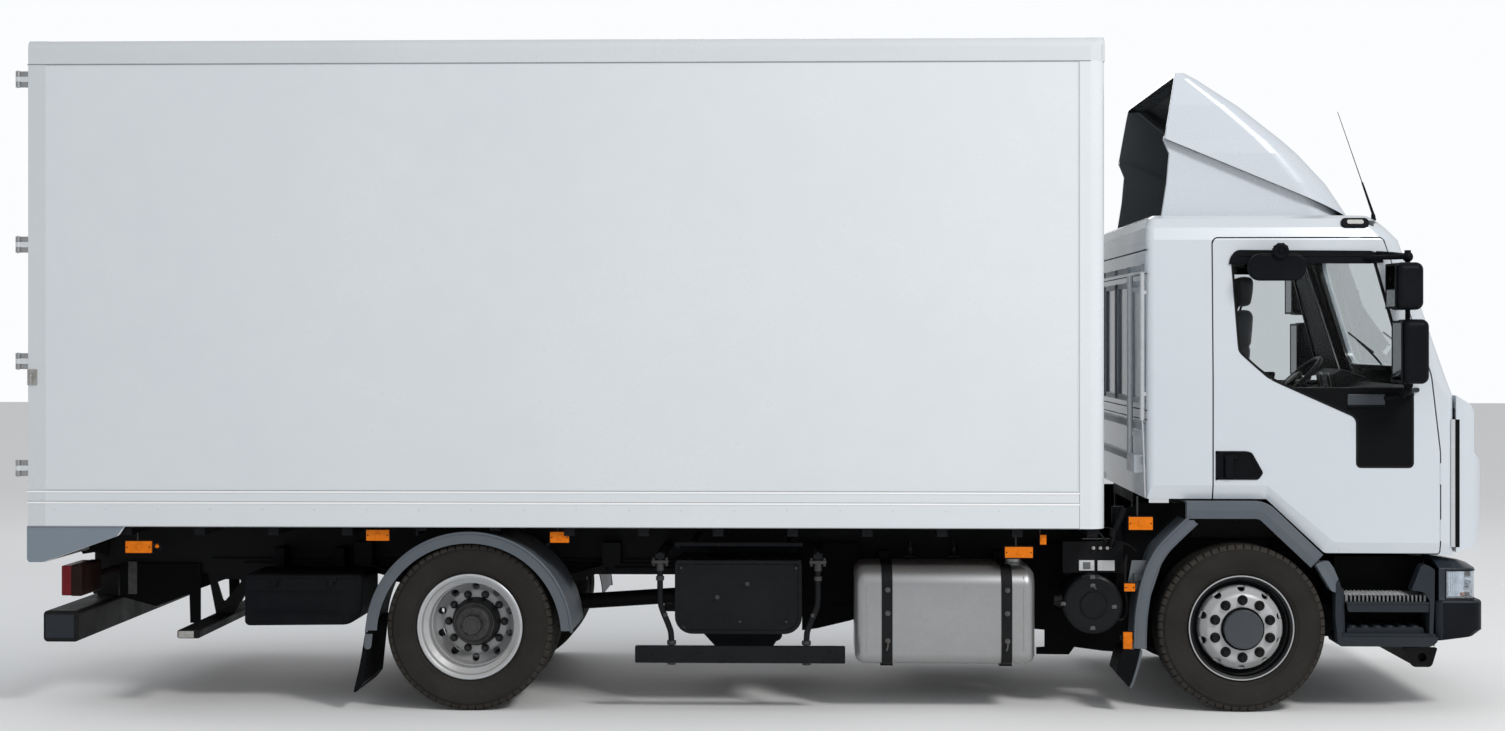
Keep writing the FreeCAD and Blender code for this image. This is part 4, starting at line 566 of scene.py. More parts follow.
def finishPiece(name, paint, body="chassis", edge=0.0, stands=(), sharp=38):
    bmesh.ops.remove_doubles(work, verts=work.verts, dist=1e-6)
    bmesh.ops.recalc_face_normals(work, faces=work.faces)
    mesh = bpy.data.meshes.new(name)
    work.to_mesh(mesh)
    work.clear()
    mesh.shade_smooth()
    mesh.set_sharp_from_angle(angle=math.radians(sharp))
    for label in paint.split():
        mesh.materials.append(paints[label])
    obj = addObject(name, mesh)
    if edge:
        having(obj.modifiers.new("edgeRounding", "BEVEL"), width=edge, segments=2, limit_method="ANGLE",
            angle_limit=math.radians(sharp), harden_normals=True)
    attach(obj, body)
    if stands:
        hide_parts(*stands)


def around(count, radius, phase=0.0):
    return [(radius * math.cos(turn), radius * math.sin(turn)) for turn in (2 * math.pi * (i + phase) / count
        for i in range(count))]


def eachSide(make):
    for side in sides:
        make(*side)


# Tyres and wheels
tyre = dict(radius=0.4785, half=0.1375, bead=0.286, grooves=(-0.072, -0.025, 0.025, 0.072), grooveHalf=0.005,
    grooveDepth=0.011, blocks=62, blockShare=0.8, steps=84)
frontTyreY, twinY, twinHalf = 1.01, 0.927, 0.16


def addTyre(x, y, z):
    part = bmesh.new()
    r, half, bead = tyre["radius"], tyre["half"], tyre["bead"]
    wall = [(0.1, bead), (0.103, bead + 0.014), (0.108, bead + 0.019), (0.121, bead + 0.036),
        (0.1225, bead + 0.042), (0.127, bead + 0.044), (0.1275, bead + 0.049), (0.1335, bead + 0.068),
        (half, bead + 0.098), (half - 0.001, bead + 0.122), (0.134, bead + 0.142), (0.1355, bead + 0.144),
        (0.135, bead + 0.148), (0.131, bead + 0.152), (0.124, r - 0.03), (0.113, r - 0.013),
        (0.101, r - 0.012), (0.1005, r - 0.003)]
    crown = []
    for g in tyre["grooves"]:
        w, d = tyre["grooveHalf"], tyre["grooveDepth"]
        top = r - 0.25 * g * g
        crown += [(g - w, top), (g - w + 0.002, top - d), (g + w - 0.002, top - d), (g + w, top)]
    profile = [(-a, b) for a, b in wall] + crown + [(a, b) for a, b in reversed(wall)]
    addSpin(profile + [profile[0]], (x, y, z), (0, 1, 0), tyre["steps"], part)
    for face in part.faces:
        middle = face.calc_center_median()
        face.material_index = 1 if math.hypot(middle.x - x, middle.z - z) < r - 0.024 else 0
    turn = 2 * math.pi / tyre["blocks"]
    width = turn * tyre["blockShare"] * r
    for sign in (-1, 1):
        outline = [(-width / 2, y + sign * a, z + b) for a, b in ((0.1005, r - 0.013), (0.1005, r - 0.003),
            (0.1175, r - 0.006), (0.1245, r - 0.013), (0.1275, r - 0.031), (0.118, r - 0.031))]
        for i in range(tyre["blocks"]):
            start = [Matrix.Translation((x, 0, 0)) @ Vector(point) for point in outline]
            pushed = addPlate(start, (width, 0, 0), part)
            block = {v for p in pushed for e in p.link_edges for v in e.verts}
            for face in {face for vert in block for face in vert.link_faces}:
                face.material_index = 2
            spot = Matrix.Translation((x, 0, z)) @ Matrix.Rotation(turn * (i + 0.25 * sign), 4, "Y")
            bmesh.ops.transform(part, matrix=spot @ Matrix.Translation((-x, 0, -z)), verts=list(block))
    takeIn(part)


def addNut(x, y, z, s, size=0.019, tall=0.03):
    # a capped wheel nut with its washer, standing out along y
    profile = [(0.0, size * 1.25), (0.004, size * 1.25), (0.006, size), (tall - 0.006, size * 0.92),
        (tall, size * 0.72), (tall - 0.004, size * 0.5), (tall - 0.004, 0.0)]
    addSpin(profile, (x, y, z), (0, s, 0), steps=18)


wheel = dict(nuts=10, nutCircle=0.163, frontFace=0.15, rearFace=0.014, flangeBolts=8)


def makeWheels(label, name, s):
    x, z = frontAxle
    y = s * frontTyreY
    body = "front_wheel_" + name
    addTyre(x, y, z)
    finishPiece("frontTyre" + label, "tyre tyreSide treadDust", body,
        stands=["front_tyre_" + name])
    addSpin([(0.112, 0.2895), (0.119, 0.2925), (0.1225, 0.2945), (0.1225, 0.2975), (0.119, 0.2995),
        (0.114, 0.299), (0.112, 0.2895)], (x, y, z), (0, s, 0), steps=84)
    finishPiece("frontRimLip" + label, "rimEdge", body)
    # near-black sheet over the rim's well: painted shade between the rim lip and the disc
    addSpin([(0.1125, 0.2885), (0.1105, 0.2762), (0.072, 0.2725), (0.054, 0.2452), (0.0425, 0.2425),
        (0.0415, 0.2415), (0.0525, 0.2465), (0.069, 0.274), (0.1085, 0.2772), (0.1105, 0.2885),
        (0.1125, 0.2885)], (x, y, z), (0, s, 0), steps=84)
    finishPiece("frontRimWellShade" + label, "blackGap", body)
    for across, up in around(wheel["nuts"], wheel["nutCircle"], 0.5):
        addNut(x + across, y + s * wheel["frontFace"], z + up, s, 0.0235, 0.032)
    finishPiece("frontWheelNuts" + label, "rubberSeal", body)
    # near-black ring round the disc's centre hole: painted shade in the recess about the hub cap
    addSpin([(0.1505, 0.112), (0.1505, 0.1205), (0.153, 0.1225), (0.16, 0.1225), (0.161, 0.1155),
        (0.157, 0.1135), (0.157, 0.1112), (0.1505, 0.112)], (x, y, z), (0, s, 0), steps=60)
    finishPiece("frontHubShadeRing" + label, "blackGap", body)
    addSpin([(0.157, 0.1105), (0.186, 0.1107), (0.1925, 0.1085), (0.195, 0.102), (0.1935, 0.096),
        (0.1925, 0.088), (0.193, 0.02), (0.193, 0.0)], (x, y, z), (0, s, 0), steps=60)
    finishPiece("frontHubCap" + label, "hubSlate", body)
    addPipe([(x + 0.16, y + s * 0.055, z + 0.192), (x + 0.155, y + s * 0.1, z + 0.188),
        (x + 0.15, y + s * 0.128, z + 0.182)], 0.004)
    addRod((x + 0.15, y + s * 0.124, z + 0.182), (x + 0.148, y + s * 0.14, z + 0.18), 0.0055, 10)
    finishPiece("frontValve" + label, "zincSteel", body)
    # twin wheels
    x, z = rearAxle
    y = s * twinY
    body = "rear_wheels_" + name
    addTyre(x, y + twinHalf, z)
    addTyre(x, y - twinHalf, z)
    finishPiece("twinTyres" + label, "tyre tyreSide treadDust", body,
        stands=["rear_tyres_" + name])
    lip = y + s * twinHalf
    addSpin([(0.104, 0.2845), (0.116, 0.2872), (0.1215, 0.2905), (0.1225, 0.2975), (0.1185, 0.3025),
        (0.112, 0.3005), (0.104, 0.2862), (0.104, 0.2845)], (x, lip, z), (0, s, 0), steps=84)
    finishPiece("twinRimLip" + label, "rimEdge", body)
    for across, up in around(wheel["nuts"], wheel["nutCircle"], 0.0):
        addNut(x + across, y + s * wheel["rearFace"], z + up, s)
    finishPiece("twinWheelNuts" + label, "rimDark", body)
    addSpin([(0.0145, 0.1415), (0.02, 0.1415), (0.041, 0.13), (0.119, 0.12), (0.1245, 0.115), (0.162, 0.0945),
        (0.1635, 0.0915), (0.1635, 0.056), (0.205, 0.0545), (0.209, 0.0515), (0.209, 0.038), (0.206, 0.036),
        (0.206, 0.0)], (x, y, z), (0, s, 0), steps=60)
    for across, up in around(wheel["flangeBolts"], 0.076, 0.25):
        addRod((x + across, y + s * 0.163, z + up), (x + across, y + s * 0.175, z + up), 0.0095, 6)
    finishPiece("twinHub" + label, "darkSteel", body)


eachSide(makeWheels)
print("wheels ready")


# Load body: seams, rails, rear doors
box = dict(rear=-4.147, front=2.014, y=1.25, low=1.05, top=3.835, roofRail=3.698, lowRail=1.25, post=0.15,
    proud=0.0012)


def makeBoxSeams(label, name, s):
    b = box
    y = s * b["y"]
    x0, x1 = b["rear"] + 0.004, b["front"] - 0.088
    addBox((x0, y - s * 0.002, b["roofRail"] - 0.004), (x1, y + s * b["proud"], b["roofRail"] + 0.001))
    x2 = b["front"] - b["post"]
    addBox((x2 - 0.0015, y - s * 0.003, b["low"]), (x2 + 0.0012, y + s * 0.0005, b["roofRail"]))
    addBox((x0, y - s * 0.003, b["lowRail"] + 0.0065), (x2, y + s * 0.0006, b["lowRail"] + 0.009))
    addBox((x0, y - s * 0.003, 1.1935), (x2, y + s * 0.0008, 1.196))
    addBox((x0, y - s * 0.003, b["low"] + 0.001), (x2, y + s * 0.0008, b["low"] + 0.004))
    finishPiece("boxSeams" + label, "seamGrey")
    # raised beads along the lower rail, coloured near white as a painted highlight on their edges
    section = [(0, 0, 0), (0.0035, 0.0, 0), (0.005, 0.004, 0), (0.004, 0.009, 0), (0, 0.011, 0)]
    for z in (1.1822, b["lowRail"] - 0.0048):
        ends = [Matrix(((0, 0, 1, x), (s, 0, 0, y), (0, 1, 0, z), (0, 0, 0, 1))) for x in (x0, x2)]
        addSweep(section, ends)
    finishPiece("boxRailBeads" + label, "beadPaint")
    for x in [b["rear"] + 0.16 + i * 0.3 for i in range(20)]:
        addRod((x, y, 1.15), (x, y + s * 0.0016, 1.15), 0.0065, 10, 0.004)
        addRod((x, y, b["roofRail"] + 0.02), (x, y + s * 0.0016, b["roofRail"] + 0.02), 0.0055, 10, 0.0035)
    finishPiece("boxRivets" + label, "railPaint")


rearDoor = dict(face=-4.147, inner=0.012, outer=1.15, low=1.16, high=3.69, seal=0.014)


def makeRearDoors(label, name, s):
    d = rearDoor
    face = d["face"]
    body = "load_door_" + name
    inner, outer = s * (d["inner"] + 0.004), s * d["outer"]
    low, high, w = d["low"], d["high"], d["seal"]
    for a, b in (((inner, low), (inner + s * w, high)), ((outer - s * w, low), (outer, high)),
            ((inner, low), (outer, low + w)), ((inner, high - w), (outer, high))):
        addBox((face - 0.004, a[0], a[1]), (face + 0.001, b[0], b[1]))
    finishPiece("rearDoorSeal" + label, "rubberSeal", body, 0.0015)
    for z in (1.52, 2.05, 2.7, 3.3):
        addBox((face - 0.0015, s * 0.1, z), (face, s * 1.1, z + 0.004))
    finishPiece("rearDoorSwages" + label, "railPaint", body, 0.0006)
    for y in (0.19, 0.83):
        for z in (1.21, 2.03, 2.88, 3.605):
            for dy in (-0.022, 0.022):
                addRod((face - 0.021, s * y + dy, z + 0.03), (face - 0.026, s * y + dy, z + 0.03), 0.006, 6)
        for z in (1.083, 3.779):
            addBox((face - 0.037, s * y - 0.03, z - 0.02), (face - 0.0005, s * y + 0.03, z + 0.02))
    handleZ = 1.548
    addRod((face - 0.032, s * 0.3, handleZ), (face - 0.032, s * 0.545, handleZ), 0.011, 16)
    addRod((face - 0.02, s * 0.19, handleZ), (face - 0.034, s * 0.19, handleZ), 0.02, 16)
    finishPiece("rearDoorGear" + label, "zincSteel", body, 0.0012)
    for z in (3.612, 2.665, 1.997, 1.384):
        for y in (1.2 - 0.1, 1.2 - 0.19, 1.2 - 0.28):
            for dz in (-0.026, 0.026):
                addRod((face - 0.011, s * y, z + dz), (face - 0.017, s * y, z + dz), 0.007, 6)
    finishPiece("rearHingeBolts" + label, "zincSteel", body)
    # marker lamps on the rear frame
    addBox((face - 0.02, s * 1.05, 3.745), (face + 0.001, s * 1.16, 3.785))
    finishPiece("rearMarker" + label, "redLens", edge=0.004)
    # rubber buffers on the sill
    for y in (0.55, 1.05):
        addBox((face - 0.028, s * y - 0.06, 0.905), (face + 0.001, s * y + 0.06, 1.015))
    finishPiece("dockBuffers" + label, "tyre", edge=0.008)
    # door holder on the side wall
    y = s * box["y"]
    addBox((-4.141, y, 1.86), (-4.085, y + s * 0.006, 1.95))
    addPipe([(-4.113, y + s * 0.004, 1.93), (-4.113, y + s * 0.03, 1.925), (-4.113, y + s * 0.032, 1.89),
        (-4.113, y + s * 0.018, 1.872)], 0.0045)
    finishPiece("doorHook" + label, "zincSteel", edge=0.001)


markers = (  # x, y, z, wide, tall, top of the stalk
    (1.527, 1.175, 0.912, 0.158, 0.062, 0.98), (-2.135, 1.175, 1.0, 0.132, 0.063, 1.05),
    (-1.09, 1.175, 0.991, 0.109, 0.063, 1.05), (2.216, 1.175, 1.078, 0.136, 0.073, 1.2),
    (2.157, 1.15, 0.712, 0.062, 0.045, 0.0), (2.146, 1.15, 0.41, 0.051, 0.097, 0.0),
    (-3.512, 1.19, 0.93, 0.151, 0.068, 0.98), (1.665, 1.17, 0.984, 0.036, 0.056, 1.02))
markerDeep = 0.024


def makeMarkers(label, name, s):
    # side markers: base plates with the lenses' screws, crowned lenses, and the brackets that hold them
    for x, y, z, wide, tall, stalk in markers:
        y, reach = s * y, s * markerDeep
        addBox((x - wide / 2 - 0.004, y, z - tall / 2 - 0.004), (x + wide / 2 + 0.004, y + s * 0.008,
            z + tall / 2 + 0.004))
        for spot in (x - wide / 2 + 0.01, x + wide / 2 - 0.01):
            addRod((spot, y + reach - s * 0.001, z), (spot, y + reach + s * 0.002, z), 0.0045, 8)
    addRod((-3.404, s * 1.15, 0.932), (-3.404, s * 1.178, 0.932), 0.019, 16, 0.014)   # round lamp
    finishPiece("markerBases" + label, "blackPlastic", edge=0.0015)
    for x, y, z, wide, tall, stalk in markers:
        y, reach = s * y, s * markerDeep
        addBox((x - wide / 2, y + s * 0.006, z - tall / 2), (x + wide / 2, y + reach, z + tall / 2))
        addRod((x, y + reach, z), (x, y + reach + s * 0.004, z), tall * 0.3, 18, tall * 0.2)
    addRod((-3.414, s * 1.152, 0.932), (-3.414, s * 1.188, 0.932), 0.016, 16, 0.01)
    finishPiece("markerLenses" + label, "amberLens", edge=0.005)
    for x, y, z, wide, tall, stalk in markers:
        if stalk:
            addPipe([(x - 0.015, s * (y - 0.01), z), (x - 0.015, s * (y - 0.012), z + 0.05),
                (x - 0.015, s * (y - 0.015), stalk + 0.03)], 0.005)
            addBox((x - wide * 0.4, s * (y - 0.03), z - 0.015), (x + wide * 0.4, s * y, z + 0.015))
        else:
            addBox((x - 0.02, s * (y - 0.16), z - 0.012), (x + 0.02, s * y, z + 0.012))
    addBox((-3.46, s * 1.15, 0.922), (-3.392, s * 1.164, 0.942))
    finishPiece("markerBrackets" + label, "darkSteel", edge=0.001)


eachSide(makeBoxSeams)
eachSide(makeRearDoors)
eachSide(makeMarkers)
print("load body ready")


# Cab outside
axleX = frontAxle[0]
skin = dict(side=1.15, straight=0.985, top=1.77, lean=0.035)
windowOutline = ((-0.061, 1.685), (0.752, 1.685), (0.968, 0.887), (0.968, 0.472), (0.642, 0.472),
    (0.642, 0.755), (0.15, 0.975), (-0.021, 1.13))
windowRounds = (0.05, 0.03, 0.03, 0.03, 0.03, 0.03, 0.1, 0.05)


def skinY(z):
    # half width of the cab's side at a height above the ground
    rise = min(max(z - railTop - skin["straight"], 0.0) / (skin["top"] - skin["straight"]), 1.35)
    return skin["side"] - skin["lean"] * rise


def layOnSide(part, s, sunk, proud):
    # faces laid out in (x, z) become a plate along the cab side, from sunk under its skin to proud of it
    outer = set(pushFaces(part, part.faces)[0])
    for vert in part.verts:
        vert.co.y = s * (skinY(vert.co.z) + (proud if vert in outer else -sunk))
    takeIn(part)


def addSidePatch(outline, rounds, s, sunk, proud):
    part = bmesh.new()
    roundedFace(part, [(x, 0, z) for x, z in outline], rounds)
    layOnSide(part, s, sunk, proud)


def addSideRing(outline, rounds, s, width, sunk, proud, outwards=0.004):
    ring = bmesh.new()
    roundedFace(ring, [(x, 0, z) for x, z in outline], rounds)
    bmesh.ops.inset_region(ring, faces=list(ring.faces), thickness=outwards, use_outset=True,
        use_even_offset=True, use_boundary=True)
    bmesh.ops.dissolve_faces(ring, faces=list(ring.faces))
    bmesh.ops.inset_region(ring, faces=list(ring.faces), thickness=width, use_even_offset=True,
        use_boundary=True)
    middle = max(ring.faces, key=lambda face: face.calc_area())
    bmesh.ops.delete(ring, geom=[middle], context="FACES")
    layOnSide(ring, s, sunk, proud)


def makeDoors(label, name, s):
    window = [(axleX + x, railTop + z) for x, z in windowOutline]
    body = "cab_door_" + name
    addSideRing(window, windowRounds, s, 0.013, 0.02, 0.0022)
    finishPiece("windowSeal" + label, "rubberSeal", body)
    # dark panel below the belt, behind the glass
    addSidePatch([(axleX + 0.29, 1.846), (axleX + 0.968, 1.846), (axleX + 0.968, 1.392),
        (axleX + 0.642, 1.392), (axleX + 0.642, 1.675)], (0, 0, 0.03, 0.03, 0), s, 0.014, 0.0008)
    finishPiece("beltPanel" + label, "blackGap", body)
    # belt rail and the ledge below it
    addBox((3.09, s * 1.105, 1.834), (3.76, s * 1.1285, 1.85))
    addBox((3.12, s * 1.105, 1.81), (3.76, s * 1.1215, 1.82))
    finishPiece("beltRail" + label, "darkSteel", body, 0.003)
    # wind deflector over the window
    addSidePatch([(2.726, 2.549), (2.734, 2.594), (2.769, 2.632), (3.54, 2.626), (3.585, 2.594), (3.6, 2.559),
        (3.524, 2.553), (2.758, 2.555)], (0, 0.02, 0.02, 0.02, 0.01, 0, 0, 0), s, 0.004, 0.016)
    addSidePatch([(2.779, 2.594), (2.775, 2.604), (3.545, 2.602), (3.549, 2.592)], (0, 0, 0, 0), s, -0.01,
        0.0205)
    finishPiece("windowVisor" + label, "blackPlastic", body, 0.004)
    # door handle: surround, deep pocket and pull
    addSideRing([(2.646, 1.324), (2.887, 1.324), (2.916, 1.362), (2.851, 1.479), (2.819, 1.487),
        (2.646, 1.487)], (0.006, 0.012, 0.012, 0.012, 0.01, 0.006), s, 0.016, 0.001, 0.006, 0.0)
    addSidePatch([(2.654, 1.332), (2.69, 1.332), (2.69, 1.479), (2.654, 1.479)], (0, 0, 0, 0), s, 0.0, 0.005)
    finishPiece("handleSurround" + label, "blackPlastic", body, 0.002)
    addSidePatch([(2.658, 1.334), (2.883, 1.334), (2.904, 1.364), (2.845, 1.473), (2.658, 1.475)],
        (0, 0.01, 0.01, 0.01, 0), s, 0.001, 0.0025)
    finishPiece("handlePocket" + label, "blackGap", body)
    addSidePatch([(2.698, 1.337), (2.742, 1.337), (2.742, 1.443), (2.734, 1.465), (2.698, 1.465)],
        (0.004, 0.004, 0, 0.006, 0.004), s, 0.0, 0.024)
    addSidePatch([(2.694, 1.443), (2.771, 1.443), (2.764, 1.467), (2.694, 1.467)], (0, 0.004, 0.004, 0), s,
        -0.004, 0.016)
    addRod((2.671, s * 1.154, 1.354), (2.671, s * 1.1565, 1.354), 0.007, 16)
    addRod((2.671, s * 1.154, 1.461), (2.671, s * 1.1565, 1.461), 0.007, 16)
    finishPiece("handlePull" + label, "blackPlastic", body, 0.003)
    # mirrors: glasses, knob, lower bracket
    for x, z0, z1 in ((0.786, 1.385, 1.612), (0.821, 0.975, 1.294)):
        addBox((axleX + x - 0.0035, s * 1.268, railTop + z0), (axleX + x + 0.001, s * 1.462, railTop + z1))
    finishPiece("mirrorGlass" + label, "mirrorGlass", body, 0.001)
    for x, z0, z1 in ((0.786, 1.372, 1.625), (0.821, 0.962, 1.307)):
        for a, b in (((1.255, z0), (1.268, z1)), ((1.462, z0), (1.475, z1)),
                ((1.262, z0), (1.468, z0 + 0.013)), ((1.262, z1 - 0.013), (1.468, z1))):
            addBox((axleX + x - 0.006, s * a[0], railTop + a[1]), (axleX + x + 0.001, s * b[0],
                railTop + b[1]))
    finishPiece("mirrorFrames" + label, "rubberSeal", body, 0.002)
    addSpin([(0.0, 0.04), (0.006, 0.046), (0.02, 0.046), (0.027, 0.04), (0.029, 0.03), (0.024, 0.026),
        (0.024, 0.016), (0.031, 0.012), (0.031, 0.0)], (2.984, s * 1.284, 2.618), (0, s, 0), 32)
    for across, up in around(10, 0.046):
        addRod((2.984 + across, s * 1.29, 2.618 + up), (2.984 + across, s * 1.302, 2.618 + up), 0.004, 8)
    finishPiece("mirrorKnob" + label, "blackPlastic", body, 0.001)
    addBox((3.388, s * 1.1325, 1.747), (3.6, s * 1.162, 1.812))
    finishPiece("mirrorFoot" + label, "hubSlate", body, 0.006)
    addBox((3.39, s * 1.1325, 1.737), (3.605, s * 1.166, 1.749))
    addPipe([(3.6, s * 1.15, 1.788), (3.65, s * 1.19, 1.795), (3.69, s * 1.285, 1.815),
        (3.692, s * 1.3, 1.88)], 0.017)
    addRod((3.694, s * 1.275, 1.866), (3.694, s * 1.325, 1.866), 0.021, 18)
    addPipe([(3.56, s * 1.125, 2.61), (3.62, s * 1.18, 2.606), (3.69, s * 1.3, 2.588)], 0.015)
    addRod((3.69, s * 1.3, 2.56), (3.69, s * 1.3, 2.622), 0.018, 18)
    finishPiece("mirrorBrackets" + label, "blackPlastic", body, 0.002)


roofLampParts = (  # part, width, height, foot and face away from the roof, finish, edge
    ("Bezel", 0.157, 0.06, -0.012, 0.014, "blackPlastic", 0.004),
    ("Lens", 0.094, 0.028, 0.01, 0.0185, "whiteLens", 0.0024))


def makeRoofLamp(x, y, z, s, name, tilt):
    place = Matrix.Translation((x, y, z)) @ Matrix.Rotation(s * math.radians(tilt), 4, "X")
    for part, wide, tall, low, high, paint, edge in roofLampParts:
        addBox((-wide / 2, s * low, -tall / 2), (wide / 2, s * high, tall / 2))
        ends = [[vert.co for vert in rim.verts] for rim in work.edges]
        upright = [rim for rim, (a, b) in zip(work.edges, ends) if abs((a - b).normalized().y) > 0.9]
        bevelEdges(work, upright, tall * 0.42, 6)
        bmesh.ops.transform(work, matrix=place, verts=work.verts)
        finishPiece(name + part, paint, "cab", edge)


wiperPivots = (-0.62, 0.3)


def makeCabFront():
    for label, name, s in sides:
        makeRoofLamp(3.446, s * 1.0875, 2.784, s, "roofLamp" + label, 31)
    addRod((3.578, -0.985, 2.805), (3.574, -0.985, 2.842), 0.015, 16, 0.011)
    addRod((3.577, -0.985, 2.835), (3.512, -0.985, 3.025), 0.0085, 12, 0.0055)
    finishPiece("antennaFoot", "blackPlastic", "cab", 0.002)
    addRod((3.513, -0.985, 3.02), (3.372, -0.985, 3.43), 0.0028, 8, 0.0018)
    finishPiece("antennaWhip", "darkSteel", "cab")
    # rear wall: ribs, frame and boxes
    wall = 2.258
    for y0, y1 in ((-1.04, -0.56), (-0.46, 0.02), (0.12, 0.6), (0.7, 1.06)):
        for a, b in (((y0, 1.76), (y0 + 0.035, 2.46)), ((y1 - 0.035, 1.76), (y1, 2.46)),
                ((y0, 2.43), (y1, 2.465)), ((y0, 1.75), (y1, 1.785)), ((y0 + 0.02, 2.52),
                (y1 - 0.02, 2.555))):
            addBox((wall - 0.014, a[0], a[1]), (wall + 0.002, b[0], b[1]))
    for z in (1.6, 1.4):
        addBox((wall - 0.016, -1.1, z), (wall + 0.002, 1.1, z + 0.045))
    finishPiece("cabRearRibs", "cabShade", "cab", 0.006)
    addBox((wall - 0.003, -1.12, 2.63), (wall + 0.002, 1.12, 2.637))
    for z in (2.495, 1.715, 1.66):
        addBox((wall - 0.003, -1.13, z), (wall + 0.002, 1.13, z + 0.005))
    finishPiece("cabRearSeams", "blackGap", "cab")
    addRod((2.212, -0.785, 1.45), (2.212, -0.785, 2.492), 0.018, 20)
    addBox((2.205, -0.8, 2.4), (2.26, -0.77, 2.425))
    addBox((2.205, -0.8, 1.56), (2.26, -0.77, 1.585))
    addRod((2.236, -1.11, 1.66), (2.236, -1.11, 2.505), 0.013, 16)
    addBox((2.236, -1.118, 2.38), (2.26, -1.102, 2.4))
    addBox((2.236, -1.118, 1.8), (2.26, -1.102, 1.82))
    addPipe([(2.236, -1.11, 1.672), (2.24, -1.115, 1.6), (2.246, -1.12, 1.4), (2.25, -1.128, 1.222)], 0.005)
    finishPiece("cabRearTubes", "rimEdge", "cab", 0.002)
    addBox((wall - 0.055, -1.02, 1.352), (wall + 0.002, -0.7, 1.46))
    finishPiece("cabRearBox", "cabPaint", "cab", 0.008)
    # wipers
    for pivot in wiperPivots:
        foot = Vector((3.985, pivot, 1.9))
        bend = Vector((3.955, pivot + 0.1, 2.0))
        tip = Vector((3.905, pivot + 0.46, 2.115))
        addRod((3.955, pivot, 1.888), (4.0, pivot, 1.905), 0.02, 18)
        addPipe([foot, bend, tip], 0.007)
        addRod(tip + Vector((0.02, -0.33, -0.075)), tip + Vector((-0.012, 0.2, 0.05)), 0.006, 8)
    finishPiece("wipers", "blackPlastic", "cab", 0.001)


eachSide(makeDoors)
makeCabFront()
print("cab outside ready")


# Chassis: arches, tank, shields, boxes, side guards, air cleaner and underside


def makeArches(label, name, s):
    # raised outer band of the wheel arch, bevelled inwards
    section = [(0.0, 0.0, 0), (0.0, 0.013, 0), (-0.004, 0.016, 0), (-0.054, 0.016, 0), (-0.099, 0.002, 0),
        (-0.099, 0.0, 0)]
    bend = [(2.4775, 1.2035), (2.875, 1.2035), (2.918, 1.196), (2.955, 1.176), (3.243, 0.904)]
    addSweep(section, pathPlaces(bend, s, s * 1.1752))
    finishPiece("archRidge" + label, "greyPlastic", "cab", sharp=12)
    # rounded edge of the front mudguard
    edge = [(2.488, 1.11), (2.38, 1.01), (2.3, 0.925), (2.235, 0.785), (2.203, 0.64), (2.186, 0.5),
        (2.186, 0.372)]
    addPipe([(x, s * 1.181, z) for x, z in edge], 0.0085)
    addPipe([(x + 0.052, s * 1.1795, z - 0.034) for x, z in edge[:4]] + [(x + 0.062, s * 1.1795, z - 0.006)
        for x, z in edge[4:]], 0.0035)
    finishPiece("frontGuardEdge" + label, "greyPlastic")
    # rounded edge of the rear mudguard
    x0, z0, r = rearAxle[0], 0.4305, 0.588
    ring = [(x0 + r * math.cos(math.radians(a)), z0 + r * math.sin(math.radians(a)))
        for a in range(2, 180, 8)]
    addPipe([(x, s * 1.237, z) for x, z in ring], 0.0085)
    finishPiece("rearGuardEdge" + label, "greyPlastic")
    # corner plate below the load body
    face = [(-4.149, 1.0485), (-4.149, 0.86), (-4.136, 0.8445), (-4.0605, 0.8445), (-3.6305, 0.9945),
        (-3.5905, 1.0485)]
    addPlate([(x, s * 1.228, z) for x, z in face], (0, s * 0.0115, 0))
    finishPiece("cornerPlate" + label, "slateSteel", edge=0.0012)
    # flap behind the rear wheels, and the guard's lip above it
    addProfile([(-2.1745, 0.4925), (-2.1915, 0.4925), (-2.232, 0.25), (-2.267, 0.107), (-2.252, 0.106),
        (-2.2095, 0.155)], s, 0.655, 1.2345, (0.002, 0.002, 0.05, 0.003, 0.003, 0.02))
    finishPiece("rearFlap" + label, "blackGap", edge=0.002)
    addProfile([(-2.1965, 0.44), (-2.204, 0.375), (-2.198, 0.352), (-2.17, 0.352), (-2.162, 0.375),
        (-2.156, 0.44)], s, 1.23, 1.2425, (0.002, 0.01, 0.012, 0.012, 0.01, 0.002))
    finishPiece("rearGuardFoot" + label, "greyPlastic", edge=0.003)
    # flap behind the front wheel, with its stiffened edge
    addProfile([(2.118, 0.358), (2.226, 0.358), (2.22, 0.311), (2.173, 0.153), (2.157, 0.14), (2.078, 0.227),
        (2.106, 0.34)], s, 0.88, 1.188, (0.004, 0.004, 0.01, 0.01, 0.008, 0.008, 0.01))
    finishPiece("frontFlap" + label, "blackGap", edge=0.003)
    addPipe([(2.22, s * 1.187, 0.357), (2.213, s * 1.187, 0.31), (2.17, s * 1.187, 0.162),
        (2.158, s * 1.187, 0.145)], 0.008)
    finishPiece("frontFlapEdge" + label, "greyPlastic")


tank = dict(rear=0.597, front=1.622, inner=0.6, outer=1.18, low=0.27, high=0.822, straps=(0.78, 1.46),
    wide=0.062, shoulder=0.115, foot=0.062, ends=0.058, band=0.004)


def addTankSection(x, length, grow):
    t = tank
    low, high, inner, outer = t["low"] - grow, t["high"] + grow, t["inner"] - grow, t["outer"] + grow
    part, _, _ = roundedPlate([(x, -inner, low), (x, -outer, low), (x, -outer, high), (x, -inner, high)],
        (t["foot"], t["foot"], t["shoulder"], t["foot"]), 8, (length, 0, 0))
    bmesh.ops.recalc_face_normals(part, faces=part.faces)
    if not grow:
        rims = [edge for edge in part.edges if abs(edge.verts[0].co.x - edge.verts[1].co.x) < 1e-6]
        bevelEdges(part, rims, t["ends"], 8)
    takeIn(part)


